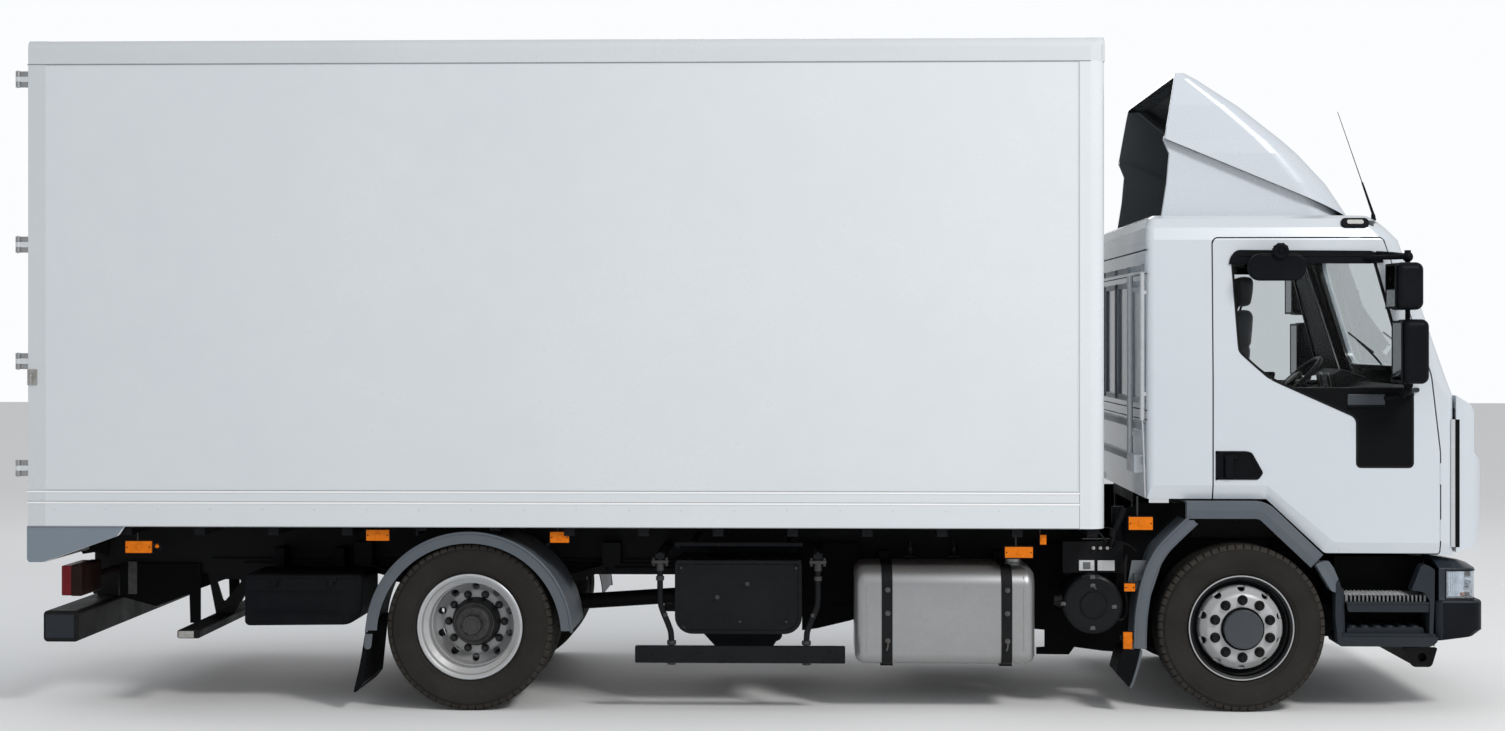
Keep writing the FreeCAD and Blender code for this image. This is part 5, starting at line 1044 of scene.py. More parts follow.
def makeTank():
    t = tank
    addTankSection(t["rear"], t["front"] - t["rear"], 0.0)
    finishPiece("fuelTank", "tankMetal", stands=["fuel_tank"], sharp=50)
    for x in t["straps"]:
        addTankSection(x - t["wide"] / 2, t["wide"], t["band"])
        addPlate([(x - 0.03, -0.435, 0.86), (x - 0.03, -0.585, 0.86), (x - 0.03, -0.585, 0.3),
            (x - 0.03, -0.54, 0.3), (x - 0.03, -0.435, 0.66)], (0.06, 0, 0))
        addBox((x - 0.036, -1.1, 0.252), (x + 0.036, -0.7, 0.262))
    finishPiece("tankStraps", "chassisPaint", edge=0.0015, stands=["tank_straps"], sharp=50)
    for x in t["straps"]:
        for z in (0.695, 0.562, 0.405):
            addRod((x + 0.004, -1.186, z), (x + 0.004, -1.197, z), 0.0085, 6)
            addSpin([(0.0, 0.015), (0.003, 0.015), (0.0035, 0.009)], (x + 0.004, -1.184, z), (0, -1, 0), 18)
        addPipe([(x + 0.004, -1.196, 0.392), (x + 0.006, -1.2, 0.372), (x - 0.004, -1.196, 0.352)], 0.005)
    finishPiece("tankStrapBolts", "darkZinc")
    # weld seams of the two end caps
    t0, t1 = t["rear"] + 0.066, t["front"] - 0.066
    for x in (t0, t1):
        outline = ((-1.1805, 0.335), (-1.1805, 0.705), (-1.1655, 0.763), (-1.128, 0.806), (-1.065, 0.8225),
            (-0.66, 0.8225))
        for (ya, za), (yb, zb) in zip(outline, outline[1:]):
            addRod((x, ya, za), (x, yb, zb), 0.002, 6)
    addSpin([(0.0, 0.052), (0.01, 0.052), (0.016, 0.047), (0.034, 0.047), (0.04, 0.04), (0.04, 0.0)],
        (1.515, -0.95, 0.82), (0, 0, 1), 28)
    finishPiece("tankSeamsCap", "tankMetal")


def makeShields():
    # dark plates inboard of the tank, the boxes and the wheels: painted shade standing for the shadowed
    # underside seen between the parts
    for label, name, s in sides:
        if s < 0:
            addProfile([(1.63, 0.9), (1.63, 0.395), (1.739, 0.385), (1.739, 0.285), (1.69, 0.282),
                (1.69, 0.24), (1.884, 0.238), (1.917, 0.283), (2.085, 0.261), (2.196, 0.255), (2.4, 0.296),
                (2.4, 0.9)], s, 0.512, 0.518)
            addProfile([(0.29, 0.9), (0.29, 0.377), (0.383, 0.389), (0.574, 0.435), (0.64, 0.455),
                (0.64, 0.9)], s, 0.512, 0.518)
            for x0, x1 in ((1.76, 2.36), (0.3, 0.58)):
                for z in (0.52, 0.62):
                    addBox((x0, s * 0.518, z), (x1, s * 0.524, z + 0.018))
        addPlate([(2.262, s * 0.845, 1.17), (2.56, s * 0.845, 1.17), (2.56, s * 0.845, 0.985),
            (2.3, s * 0.845, 0.8), (2.24, s * 0.845, 0.56), (2.12, s * 0.845, 0.56), (2.12, s * 0.845, 1.11)],
            (0, s * 0.006, 0))
        finishPiece("underShadePlates" + label, "blackGap", edge=0.001)
        # end of the sub-frame as a dark plate that stands for the shade below the sill (painted shade), and
        # stays of the underrun bar
        addProfile([(-4.12, 1.03), (-4.12, 0.868), (-4.085, 0.815), (-3.99, 0.83), (-3.94, 0.8),
            (-3.9, 1.03)], s, 0.446, 0.452)
        addProfile([(-3.855, 0.76), (-3.855, 0.56), (-3.634, 0.5), (-3.43, 0.575), (-3.425, 0.4),
            (-3.36, 0.4), (-3.36, 0.76)], s, 0.453, 0.459)
        finishPiece("sillShadeAndStays" + label, "blackGap", edge=0.001)
        # ribbed reflector on them
        addBox((-3.802, s * 0.459, 0.575), (-3.748, s * 0.467, 0.772))
        for i in range(12):
            addBox((-3.8, s * 0.466, 0.582 + i * 0.0158), (-3.75, s * 0.47, 0.589 + i * 0.0158))
        finishPiece("stayReflector" + label, "darkZinc", edge=0.001)
    # hangers on the rail's side
    for x in (0.941, 1.203):
        addRod((x, -0.448, 0.905), (x, -0.448, 0.885), 0.006, 10)
        addSpin([(0.0, 0.01), (0.01, 0.017), (0.03, 0.02), (0.05, 0.016), (0.062, 0.008), (0.064, 0.0)],
            (x, -0.46, 0.888), (0, 0, -1), 18)
        addBox((x - 0.04, -0.47, 0.814), (x + 0.034, -0.436, 0.82))
    for x, z in ((0.503, 0.862), (0.495, 0.846)):
        addSpin([(0.0, 0.0), (0.004, 0.012), (0.018, 0.016), (0.024, 0.0)], (x, -0.452, z), (0, -1, 0), 16)
    finishPiece("railHangers", "darkSteel", edge=0.001)


def addHungBox(outline, back, face, rounds, rim, sunk):
    # box with rounded corners in side view; its outer face may carry a raised rim
    part, _, outer = roundedPlate([(x, back, z) for x, z in outline], rounds, 8, (0, face - back, 0))
    if rim:
        bmesh.ops.inset_region(part, faces=outer, thickness=rim, depth=0.0)
        bmesh.ops.inset_region(part, faces=outer, thickness=0.005, depth=-sunk)
    takeIn(part)


guard = dict(rear=-0.656, front=0.541, low=0.279, high=0.377, y=1.22, rods=((-0.516, 1), (0.386, -1)))


def makeSideGuards():
    g = guard
    for label, name, s in sides:
        y = s * (g["y"] - 0.048)
        addProfile([(g["rear"], g["low"]), (g["front"], g["low"]), (g["front"], g["high"]),
            (g["rear"], g["high"])], s, g["y"] - 0.032, g["y"], (0.008,) * 4)
        for x, turn in g["rods"]:
            addPipe([(x, y, 0.905), (x, y, 0.74), (x, y, 0.64), (x + turn * 0.006, y, 0.59),
                (x + turn * 0.058, y, 0.47), (x + turn * 0.066, y, 0.425), (x + turn * 0.0665, y, 0.27)],
                0.017)
            addBox((x - 0.026, s * 0.435, 0.868), (x + 0.026, y + s * 0.02, 0.898))
    finishPiece("sideGuards", "glossBlack", edge=0.003, stands=["side_guards"])
    for label, name, s in sides:
        y = s * (g["y"] - 0.048)
        for x, turn in g["rods"]:
            addBox((x - 0.048, y - 0.022, 0.842), (x + 0.048, y + 0.022, 0.86))
            for dx in (-0.036, 0.036):
                addRod((x + dx, y, 0.826), (x + dx, y, 0.874), 0.01, 6)
            foot = x + turn * 0.066
            for at, low, high, radius in ((x, 0.842, 0.8, 0.0225), (x, 0.77, 0.745, 0.0235),
                    (foot, 0.378, 0.402, 0.026), (foot, 0.279, 0.264, 0.024)):
                addRod((at, y, low), (at, y, high), radius, 16)
            addRod((x + turn * 0.03, y - 0.02, 0.548), (x + turn * 0.03, y + 0.024, 0.548), 0.013, 6)
    finishPiece("guardClamps", "darkSteel", edge=0.002)


def makeHungBoxes():
    # battery box: rounded lower corners, then its lid
    cover = ((-0.435, 0.854), (-0.435, 0.432), (0.294, 0.432), (0.294, 0.854))
    addHungBox(cover, -0.64, -1.098, (0.02, 0.095, 0.095, 0.02), 0.0, 0.0)
    addHungBox(((-0.428, 0.847), (-0.428, 0.438), (0.288, 0.438), (0.288, 0.847)), -1.09, -1.104,
        (0.02, 0.092, 0.092, 0.02), 0.0, 0.0)
    addHungBox(cover, -1.102, -1.12, (0.028, 0.1, 0.1, 0.028), 0.02, 0.006)
    finishPiece("batteryBox", "glossBlack", edge=0.004, stands=["battery_box"])
    for x, z in ((-0.398, 0.812), (0.262, 0.812), (0.205, 0.505), (-0.06, 0.505)):
        addRod((x, -1.126, z), (x, -1.1385, z), 0.007, 12)
    for x, z in ((-0.19, 0.645), (-0.018, 0.722)):
        addRod((x, -1.134, z), (x, -1.1375, z), 0.013, 16)
    finishPiece("batteryScrews", "darkSteel", edge=0.001)
    # thin rail above it, trapezoid skid below
    addBox((-0.432, -1.175, 0.94), (0.301, -1.15, 0.962))
    addBox((-0.432, -1.172, 0.93), (-0.404, -1.155, 0.942))
    for x in (-0.35, 0.2):
        addBox((x, -1.16, 0.942), (x + 0.035, -0.44, 0.956))
    addPlate([(-0.285, -0.68, 0.432), (0.18, -0.68, 0.432), (0.125, -0.68, 0.345), (-0.205, -0.68, 0.345)],
        (0, -0.34, 0))
    finishPiece("batteryRail", "blackPlastic", edge=0.004)
    # tool box with rounded corners, on its arms
    addHungBox(((-2.9365, 0.7575), (-2.9365, 0.4625), (-2.2535, 0.47), (-2.2535, 0.7575)), -0.579, -1.0615,
        (0.012, 0.03, 0.11, 0.03), 0.0, 0.0)
    for x in (-2.876, -2.514):
        addBox((x, -0.6, 0.69), (x + 0.06, -0.43, 0.87))
    finishPiece("toolBox", "blackPlastic", edge=0.006, stands=["tool_box"])
    # its ribs, rim and latches
    for z in (0.65, 0.535):
        addBox((-2.88, -1.067, z), (-2.38, -1.058, z + 0.012))
    addBox((-2.925, -1.068, 0.742), (-2.27, -1.056, 0.754))
    for x in (-2.76, -2.43):
        addBox((x - 0.03, -1.072, 0.715), (x + 0.03, -1.058, 0.748))
        addBox((x - 0.014, -1.078, 0.69), (x + 0.014, -1.066, 0.732))
    finishPiece("toolBoxRibs", "blackPlastic", edge=0.002)


def makeAirCleaner():
    x, z, face = 1.956, 0.6085, -1.121
    addSpin([(-0.004, 0.1615), (0.004, 0.163), (0.012, 0.1615), (0.015, 0.157), (0.0175, 0.15), (0.019, 0.11),
        (0.02, 0.08), (0.0225, 0.078), (0.0225, 0.0)], (x, face, z), (0, -1, 0), 64)
    addSpin([(0.021, 0.0745), (0.031, 0.0735), (0.0345, 0.07), (0.0335, 0.058), (0.0315, 0.054),
        (0.0325, 0.04), (0.0325, 0.0)], (x, face, z), (0, -1, 0), 48)
    addSpin([(-0.07, 0.1605), (-0.06, 0.1655), (-0.045, 0.1655), (-0.035, 0.1605)], (x, face, z), (0, -1, 0),
        64)
    addSpin([(-0.012, 0.1605), (-0.01, 0.1665), (0.0, 0.1665), (0.002, 0.1605)], (x, face, z), (0, -1, 0), 64)
    finishPiece("airCleanerCover", "glossBlack")
    for angle, reach in ((92, 0.11), (355, 0.118), (268, 0.132), (92, 0.158), (178, 0.172)):
        dx, dz = reach * math.cos(math.radians(angle)), reach * math.sin(math.radians(angle))
        addBox((x + dx - 0.014, face - 0.024, z + dz - 0.01), (x + dx + 0.014, face - 0.012, z + dz + 0.01))
        addRod((x + dx, face - 0.018, z + dz + 0.004), (x + dx, face - 0.03, z + dz + 0.004), 0.009, 12)
    addPipe([(x + 0.004, face - 0.024, z + 0.118), (x - 0.004, face - 0.03, z + 0.1),
        (x + 0.016, face - 0.024, z + 0.092)], 0.004)
    finishPiece("airCleanerLatches", "darkZinc", edge=0.002)
    # intake neck, hoses and valves behind the load body's corner
    addRod((x - 0.15, -1.05, z + 0.012), (x - 0.215, -1.05, z + 0.016), 0.03, 20)
    addRod((x - 0.175, -1.05, z + 0.013), (x - 0.19, -1.05, z + 0.014), 0.037, 20)
    addPipe([(2.15, -1.0, 1.15), (2.142, -1.0, 1.12), (2.095, -1.0, 1.02), (2.085, -1.0, 0.96),
        (2.075, -0.98, 0.93)], 0.017)
    addRod((2.09, -1.0, 1.03), (2.08, -1.0, 0.985), 0.024, 16)
    addPipe([(2.165, -1.01, 0.88), (2.15, -1.03, 0.868), (2.146, -1.05, 0.7), (2.162, -1.06, 0.565),
        (2.13, -1.07, 0.5), (2.09, -1.08, 0.53)], 0.011)
    addPipe([(2.07, -1.0, 0.905), (2.12, -1.01, 0.955), (2.19, -1.01, 0.935), (2.215, -1.0, 0.9)], 0.008)
    addPipe([(1.99, -0.99, 1.022), (2.03, -1.0, 0.985), (2.045, -1.0, 0.955)], 0.007)
    finishPiece("airHoses", "rubberSeal")
    addBox((1.8, -0.96, 0.772), (2.15, -0.945, 0.955))
    finishPiece("valvePlate", "chassisPaint", edge=0.002)
    for vx in (1.975, 2.015, 2.055, 2.082):
        addRod((vx, -0.955, 0.918), (vx, -0.985, 0.918), 0.01, 14)
        addRod((vx, -0.984, 0.918), (vx, -0.992, 0.918), 0.006, 10)
    finishPiece("airFittings", "zincSteel", edge=0.001)
    # two blank plates on it
    for x0, x1 in ((1.893, 1.981), (2.0, 2.098)):
        addBox((x0, -0.972, 0.786), (x1, -0.9595, 0.846))
    finishPiece("blankLabels", "whiteLabel", edge=0.002)
    addBox((1.916, -0.976, 0.797), (1.958, -0.9715, 0.836))
    addPlate([(2.188, -1.03, 0.852), (2.292, -1.03, 0.852), (2.262, -1.03, 0.69), (2.159, -1.03, 0.69)],
        (0, 0.01, 0))
    finishPiece("guardBracketPlate", "slatePlastic", edge=0.002)


def makeUnderside(label, name, s):
    # spring U-bolts, hangers' pins and dampers
    for x in (frontAxle[0] - 0.055, frontAxle[0] + 0.055, rearAxle[0] - 0.075, rearAxle[0] + 0.075):
        for y in (s * 0.42 - 0.05, s * 0.42 + 0.05):
            addRod((x, y, 0.36), (x, y, 0.745 if x < 0 else 0.735), 0.0095, 10)
            addRod((x, y, 0.352), (x, y, 0.372), 0.0165, 6)
    addRod((frontAxle[0] + 0.16, s * 0.56, 0.5), (frontAxle[0] + 0.2, s * 0.56, 0.7), 0.036, 20)
    addRod((frontAxle[0] + 0.2, s * 0.56, 0.7), (frontAxle[0] + 0.225, s * 0.56, 0.83), 0.028, 20)
    addRod((rearAxle[0] + 0.22, s * 0.3, 0.5), (rearAxle[0] + 0.3, s * 0.36, 0.72), 0.036, 20)
    addRod((rearAxle[0] + 0.3, s * 0.36, 0.72), (rearAxle[0] + 0.335, s * 0.385, 0.83), 0.028, 20)
    addRod((rearAxle[0] - 0.2, s * 0.52, 0.56), (rearAxle[0] - 0.34, s * 0.52, 0.62), 0.078, 28)
    addRod((rearAxle[0] - 0.262, s * 0.52, 0.587), (rearAxle[0] - 0.28, s * 0.52, 0.595), 0.088, 28)
    finishPiece("springBolts" + label, "darkSteel", edge=0.001)
    # air and brake pipes along the rail
    for i, (y, z) in enumerate(((0.448, 0.79), (0.452, 0.765), (0.446, 0.74))):
        addPipe([(-3.3 + 0.2 * i, s * y, z), (-2.2, s * y, z), (-1.7, s * (y + 0.004), z + 0.015),
            (-1.2, s * y, z), (0.6, s * y, z), (1.3 + 0.1 * i, s * y, z - 0.005)], 0.0055, 2)
    finishPiece("railPipes" + label, "rubberSeal")


eachSide(makeArches)
makeTank()
makeShields()
makeHungBoxes()
makeSideGuards()
makeAirCleaner()
eachSide(makeUnderside)
print("chassis ready")


# Cab steps, headlamps, bumper, front panel and rear lamps
step = dict(rear=3.346, front=3.884, out=1.157, bars=20, teeth=9, barLow=0.625, barTop=0.668)


def makeSteps():
    out = step["out"]
    low, high = step["barLow"], step["barTop"]
    # outline, distances off the middle plane and rounds of the lower tread, its lip, the rear post and its
    # liner, the fairing beside the lamp, its back, the riser under the upper tread, and the riser's lip
    stepProfiles = (([(3.334, 0.396), (3.35, 0.38), (3.866, 0.38), (3.898, 0.41), (3.898, 0.434),
        (3.348, 0.434)], 0.9, out, (0.012, 0.012, 0.02, 0.012, 0.004, 0.004)),
        ([(3.356, 0.432), (3.892, 0.432), (3.884, 0.4515), (3.366, 0.4515)], 0.9, out - 0.012,
        (0, 0, 0.006, 0.006)), ([(3.322, 0.685), (3.32, 0.552), (3.331, 0.44), (3.336, 0.392), (3.348, 0.392),
        (3.362, 0.467), (3.358, 0.689), (3.344, 0.751), (3.322, 0.734)], 1.078, out + 0.001, ()),
        ([(3.358, 0.44), (3.384, 0.44), (3.378, 0.7), (3.352, 0.72)], 1.04, out - 0.04, ()),
        ([(3.75, 0.698), (3.804, 0.838), (3.826, 0.846), (3.85, 0.838), (3.882, 0.815), (3.88, 0.64),
        (3.872, 0.45), (3.852, 0.45), (3.854, 0.64), (3.822, 0.69)], 1.06, out - 0.006,
        (0.01, 0.012, 0.01, 0.01, 0.008, 0, 0, 0, 0.01, 0.02)), ([(3.868, 0.44), (3.884, 0.44), (3.884, 0.82),
        (3.868, 0.83)], 0.9, 1.08, ()), ([(3.389, 0.622), (3.857, 0.622), (3.853, 0.574), (3.396, 0.574)],
        1.09, out - 0.016, (0.003, 0.003, 0.008, 0.008)), ([(3.386, 0.62), (3.86, 0.62), (3.86, 0.631),
        (3.386, 0.631)], 0.92, out - 0.011, ()))
    for label, name, s in sides:
        for outline, inner, outer, rounds in stepProfiles:
            addProfile(outline, s, inner, outer, rounds)
    finishPiece("stepFrames", "stepSlate", edge=0.003)
    for label, name, s in sides:
        # guard by the wheel: outer face and its chamfered front
        addProfile([(3.207, 0.846), (3.249, 0.864), (3.322, 0.732), (3.322, 0.685), (3.298, 0.693),
            (3.276, 0.728)], s, 1.075, out + 0.003, (0.006, 0.01, 0.004, 0.004, 0.008, 0.02))
        front = [(3.249, out + 0.003, 0.864), (3.29, out - 0.022, 0.861), (3.317, out - 0.026, 0.825),
            (3.345, out - 0.024, 0.757), (3.322, out + 0.003, 0.732)]
        addPlate([(x, s * y, z) for x, y, z in front], (0, -s * 0.05, 0))
    finishPiece("stepGuards", "guardSlate", edge=0.003)
    for label, name, s in sides:
        addProfile([(3.398, 0.45), (3.838, 0.45), (3.832, 0.482), (3.402, 0.478)], s, 0.925, 1.095,
            (0, 0, 0.01, 0.01))
        for i in range(6):
            for y in (0.935, 0.98, 1.025, 1.07):
                addSpin([(0.0, 0.026), (0.006, 0.025), (0.012, 0.02), (0.014, 0.012), (0.012, 0.0)],
                    (3.434 + i * 0.071, s * y, 0.478), (0, 0, 1), 12)
    finishPiece("lowerTreads", "stepSlate")
    # black slabs inside the gratings: painted shade between the tread bars
    for label, name, s in sides:
        addBox((3.391, s * 0.892, 0.628), (3.835, s * 1.106, 0.654))
    finishPiece("treadShadeCores", "blackGap")
    for label, name, s in sides:
        for i in range(step["bars"]):
            x = 3.394 + i * (3.832 - 3.394) / (step["bars"] - 1)
            addBox((x - 0.0042, s * 0.89, low + 0.006), (x + 0.0042, s * 1.116, high - 0.006))
            addBox((x - 0.0046, s * 1.11, low + 0.002), (x + 0.0046, s * 1.12, high))
            for j in range(step["teeth"]):
                y = 0.9 + j * 0.0262
                addPlate([(x - 0.0042, s * (y - 0.008), high - 0.007), (x - 0.0042, s * y, high + 0.004),
                    (x - 0.0042, s * (y + 0.008), high - 0.007)], (0.0084, 0, 0))
        for y in (0.905, 0.975, 1.045):
            addBox((3.39, s * y - 0.003, 0.634), (3.836, s * y + 0.003, high - 0.01))
        for x in (3.384, 3.834):
            addBox((x, s * 0.888, low), (x + 0.006, s * 1.118, high - 0.002))
    finishPiece("upperTreads", "treadSteel", stands=["cab_steps"])
    for label, name, s in sides:
        # near-black walls of the recess and sheets behind it: painted shade filling the gap between the wheel
        # and the steps
        addBox((3.376, s * 0.872, 0.436), (3.884, s * 0.884, 0.868))
        addBox((3.1, s * 0.5, 0.452), (3.88, s * 0.508, 0.905))
        addBox((3.1, s * 0.5, 0.352), (3.5, s * 0.508, 0.46))
        addBox((3.378, s * 0.508, 0.56), (3.39, s * 0.872, 0.868))
        finishPiece("stepRecessShade" + label, "blackGap", edge=0.002)


lamp = dict(low=0.641, lensLow=0.65, lensHigh=0.812, high=0.824, top=0.893, rear=3.905, front=4.124,
    inner=0.842, outer=1.147, corner=0.085, bowlInset=0.045, tighter=0.6, glass=0.003, glassRear=3.944,
    glassInner=0.858, seal=0.0042)
brow = dict(drop=0.045, ramp=1.25, narrow=0.72, back=0.03)


def lampShell(low, high, inset=0.0):
    # slice of the lamp's plan, with the outer front corner rounded
    p = lamp
    front, outer = p["front"] - inset, p["outer"] - inset
    corners = ((p["rear"], p["inner"]), (front, p["inner"]), (front, outer), (p["rear"], outer))
    return roundedPlate([(x, y, low) for x, y in corners], (0, 0, p["corner"] - inset * p["tighter"], 0), 8,
        (0, 0, high - low))


def lensPlan(thin):
    # from the rear end of the lens round the corner to its inner end
    p = lamp
    radius = p["corner"] - thin
    bends = [math.radians(7.5 * i) for i in range(13)]
    return [(p["glassRear"], p["outer"] - thin), *[(p["front"] - p["corner"] + radius * math.sin(turn),
        p["outer"] - p["corner"] + radius * math.cos(turn)) for turn in bends],
        (p["front"] - thin, p["glassInner"])]


def makeHeadlamps(label, name, s):
    p = lamp
    for low, high, inset in ((p["low"], p["lensLow"] + 0.002, 0.0), (p["lensHigh"] - 0.002, p["high"], 0.0),
            (p["lensLow"], p["lensHigh"], p["bowlInset"])):
        takeIn(lampShell(low, high, inset)[0])
    part, pushed, _ = lampShell(p["high"] - 0.001, p["top"])
    for vert in pushed:
        share = (p["front"] - vert.co.x) / (p["front"] - p["rear"])
        vert.co.z -= brow["drop"] * (1.0 - min(1.0, share * brow["ramp"]))
        vert.co.y = p["inner"] + (vert.co.y - p["inner"]) * brow["narrow"]
        vert.co.x -= brow["back"]
    takeIn(part)
    addBox((p["rear"], p["inner"], p["low"] + 0.001), (3.943, p["outer"] - 0.0005, p["high"] - 0.001))
    for face in work.faces:
        middle = face.calc_center_median()
        if abs(face.normal.z) < 0.5 and p["lensLow"] < middle.z < p["lensHigh"] and middle.x > 3.95:
            face.material_index = 1
    if s < 0:
        bmesh.ops.scale(work, vec=(1, -1, 1), verts=work.verts)
    finishPiece("headlampHousing" + label, "lampSlate silverReflector", edge=0.003,
        sharp=30)
    # reflector bowls with their bulbs
    for x, y, z, r in ((4.062, 1.028, 0.762, 0.043), (4.062, 0.925, 0.735, 0.058), (4.05, 1.05, 0.69, 0.034)):
        addSpin([(0.0, 0.006), (-0.006, 0.01), (0.006, r * 0.45), (0.024, r * 0.78), (0.046, r), (0.05, r),
            (0.047, r * 1.04), (0.02, r * 0.84), (-0.01, r * 0.45), (-0.016, 0.0)], (x - 0.004, s * y, z),
            (1, 0, 0), 32)
    addRod((4.056, s * 1.028, 0.762), (4.09, s * 1.028, 0.762), 0.007, 12, 0.005)
    addRod((4.056, s * 0.925, 0.735), (4.092, s * 0.925, 0.735), 0.008, 12, 0.006)
    for i in range(7):                                 # upright optics behind the side of the lens
        addRod((3.962 + i * 0.01, s * 1.121, 0.664), (3.962 + i * 0.01, s * 1.121, 0.8), 0.0046, 8)
    for z in (0.7, 0.748):
        addBox((3.956, s * 1.112, z), (4.04, s * 1.126, z + 0.004))
    finishPiece("headlampBowls" + label, "silverReflector")
    addSpin([(0.0, 0.0), (0.0, 0.01), (0.016, 0.01), (0.022, 0.006), (0.024, 0.0)], (4.048, s * 1.09, 0.672),
        (0.3, s, 0), 16)
    finishPiece("headlampIndicator" + label, "amberLens")
    # lens wrapped round the corner
    outside, inside = lensPlan(0.0), lensPlan(p["glass"])
    addPlate([(x, s * y, p["lensLow"]) for x, y in outside + inside[::-1]],
        (0, 0, p["lensHigh"] - p["lensLow"]))
    finishPiece("headlampLens" + label, "clearLens", stands=["headlamps"] if s < 0 else ())
    # black seal round the lens
    for z in (p["lensLow"] + 0.001, p["lensHigh"] - 0.001):
        addPipe([(x, s * y, z) for x, y in outside], p["seal"])
    end = (p["glassRear"], s * p["outer"])
    addRod((*end, p["lensLow"]), (*end, p["lensHigh"]), p["seal"], 10)
    finishPiece("headlampSeal" + label, "rubberSeal")


bumper = dict(rear=3.893, facet=3.926, front=4.163, side=1.15, corner=0.08, top=0.6405, knee=0.474, low=0.41,
    rim=0.012, skirtRise=0.11, skirtPull=0.84, skirtWide=0.988, lipPull=0.975, lipWide=0.9965)


def makeBumper():
    p = bumper
    half = [(p["rear"], 1.118), (p["facet"], p["side"]), (p["front"], p["side"])]
    outline = [(x, -y, p["top"] - p["rim"]) for x, y in half] + [(x, y, p["top"] - p["rim"]) for x,
        y in reversed(half)]
    roundedFace(work, outline, (0, 0.006, p["corner"], p["corner"], 0.006, 0), 8)
    _, floor = pushFaces(work, work.faces, (0, 0, p["knee"] - p["top"] + p["rim"]))
    for vert in pushFaces(work, floor)[0]:
        vert.co.z = p["low"] + (vert.co.x - p["rear"]) * p["skirtRise"]
        vert.co.x = p["rear"] + (vert.co.x - p["rear"]) * p["skirtPull"]
        vert.co.y *= p["skirtWide"]
    lip = [face for face in work.faces if face.normal.z > 0.9 or face.calc_center_median().z > p["top"]
        - 0.013]
    for vert in pushFaces(work, lip)[0]:
        vert.co.z = p["top"]
        vert.co.x = p["rear"] + (vert.co.x - p["rear"]) * p["lipPull"]
        vert.co.y *= p["lipWide"]
    # the rear facets at the corners and the top rim take the lighter slate as painted light: a lit facet and
    # a highlight along the rim
    for face in work.faces:
        middle = face.calc_center_median()
        if (middle.x < p["facet"] and abs(middle.y) > 1.11) or (middle.z > p["top"] - 0.01
                and abs(face.normal.z) < 0.9):
            face.material_index = 1
    finishPiece("bumperSkin", "bumperBlack stepSlate", edge=0.004,
        stands=["front_bumper"], sharp=30)
    # grille between the lamps
    for y0, y1 in ((-0.832, -0.502), (-0.405, 0.405), (0.502, 0.832)):   # open at the lugs of the tilting cab
        addBox((4.06, y0, 0.636), (4.075, y1, 0.838))
        for i in range(4):
            addBox((4.072, y0, 0.652 + i * 0.047), (4.104, y1, 0.668 + i * 0.047))
        for y in (y0 + 0.008, (y0 + y1) / 2, y1 - 0.008):
            addBox((4.07, y - 0.008, 0.64), (4.096, y + 0.008, 0.834))
    finishPiece("lampGrille", "blackPlastic", edge=0.004)
    # lower slots of the bumper
    for z in (0.512, 0.536, 0.56, 0.584):
        addBox((p["front"] - 0.004, -0.6, z), (p["front"] + 0.0008, -0.3, z + 0.012))
        addBox((p["front"] - 0.004, 0.3, z), (p["front"] + 0.0008, 0.6, z + 0.012))
    finishPiece("bumperSlots", "blackGap")
    # blank number plate and its holder
    addBox((p["front"] - 0.002, -0.265, 0.502), (p["front"] + 0.006, 0.265, 0.62))
    finishPiece("plateHolder", "rubberSeal", edge=0.002)
    addBox((p["front"] + 0.004, -0.258, 0.508), (p["front"] + 0.008, 0.258, 0.614))
    finishPiece("blankPlate", "whiteLabel", edge=0.001)
    for label, name, s in sides:
        # fog lamps
        spot = (p["front"] - 0.006, s * 0.8, 0.562)
        addSpin([(0.0, 0.062), (0.006, 0.062), (0.007, 0.054), (0.002, 0.052), (0.002, 0.0)], spot, (1, 0, 0),
            40)
        finishPiece("fogBezel" + label, "glossBlack")
        addSpin([(0.003, 0.0515), (0.009, 0.048), (0.012, 0.03), (0.013, 0.0), (0.004, 0.0), (0.003, 0.0515)],
            spot, (1, 0, 0), 40)
        finishPiece("fogLens" + label, "whiteLens")


def makeFrontPanel():
    face = axleX + 1.3762                                  # lower front of the panel
    for z in (1.295, 1.34, 1.385):
        addBox((face - 0.01, -0.86, z), (face + 0.0003, 0.86, z + 0.02))
    finishPiece("frontSlots", "blackGap", "cab")
    for z in (1.29, 1.335, 1.38, 1.41):
        addBox((face - 0.006, -0.875, z - 0.004), (face + 0.0002, 0.875, z + 0.002))
    for y in (-0.875, 0.875):
        addBox((face - 0.006, y - 0.003, 1.286), (face + 0.0002, y + 0.003, 1.412))
    finishPiece("frontSlotTrim", "rubberSeal", "cab", 0.001)
    # upper vent below the windscreen
    vent = axleX + 1.3142
    for z in (1.53, 1.56, 1.59):
        addBox((vent - 0.01, -0.8, z), (vent + 0.0004, 0.8, z + 0.012))
    finishPiece("upperVents", "blackGap", "cab")
    for label, name, s in sides:
        # upright insert and gap at the corner of the cab
        addBox((3.9995, s * 1.1435, 0.944), (4.0215, s * 1.1492, 1.668))
        finishPiece("cornerGap" + label, "blackGap", "cab")
        addBox((3.972, s * 1.146, 0.944), (3.9965, s * 1.1505, 1.668))
        finishPiece("cornerInsert" + label, "rimEdge", "cab", 0.002)
        # grab handle on the front corner
        addPipe([(4.085, s * 1.02, 1.745), (4.11, s * 1.0, 1.745), (4.112, s * 0.99, 1.73),
            (4.112, s * 0.86, 1.73), (4.112, s * 0.85, 1.745), (4.09, s * 0.84, 1.745)], 0.009)
        finishPiece("frontHandle" + label, "blackPlastic", "cab")


rearLamp = dict(rear=-3.967, middle=-3.908, front=-3.846, low=0.644, high=0.822, inner=0.832, outer=1.188)


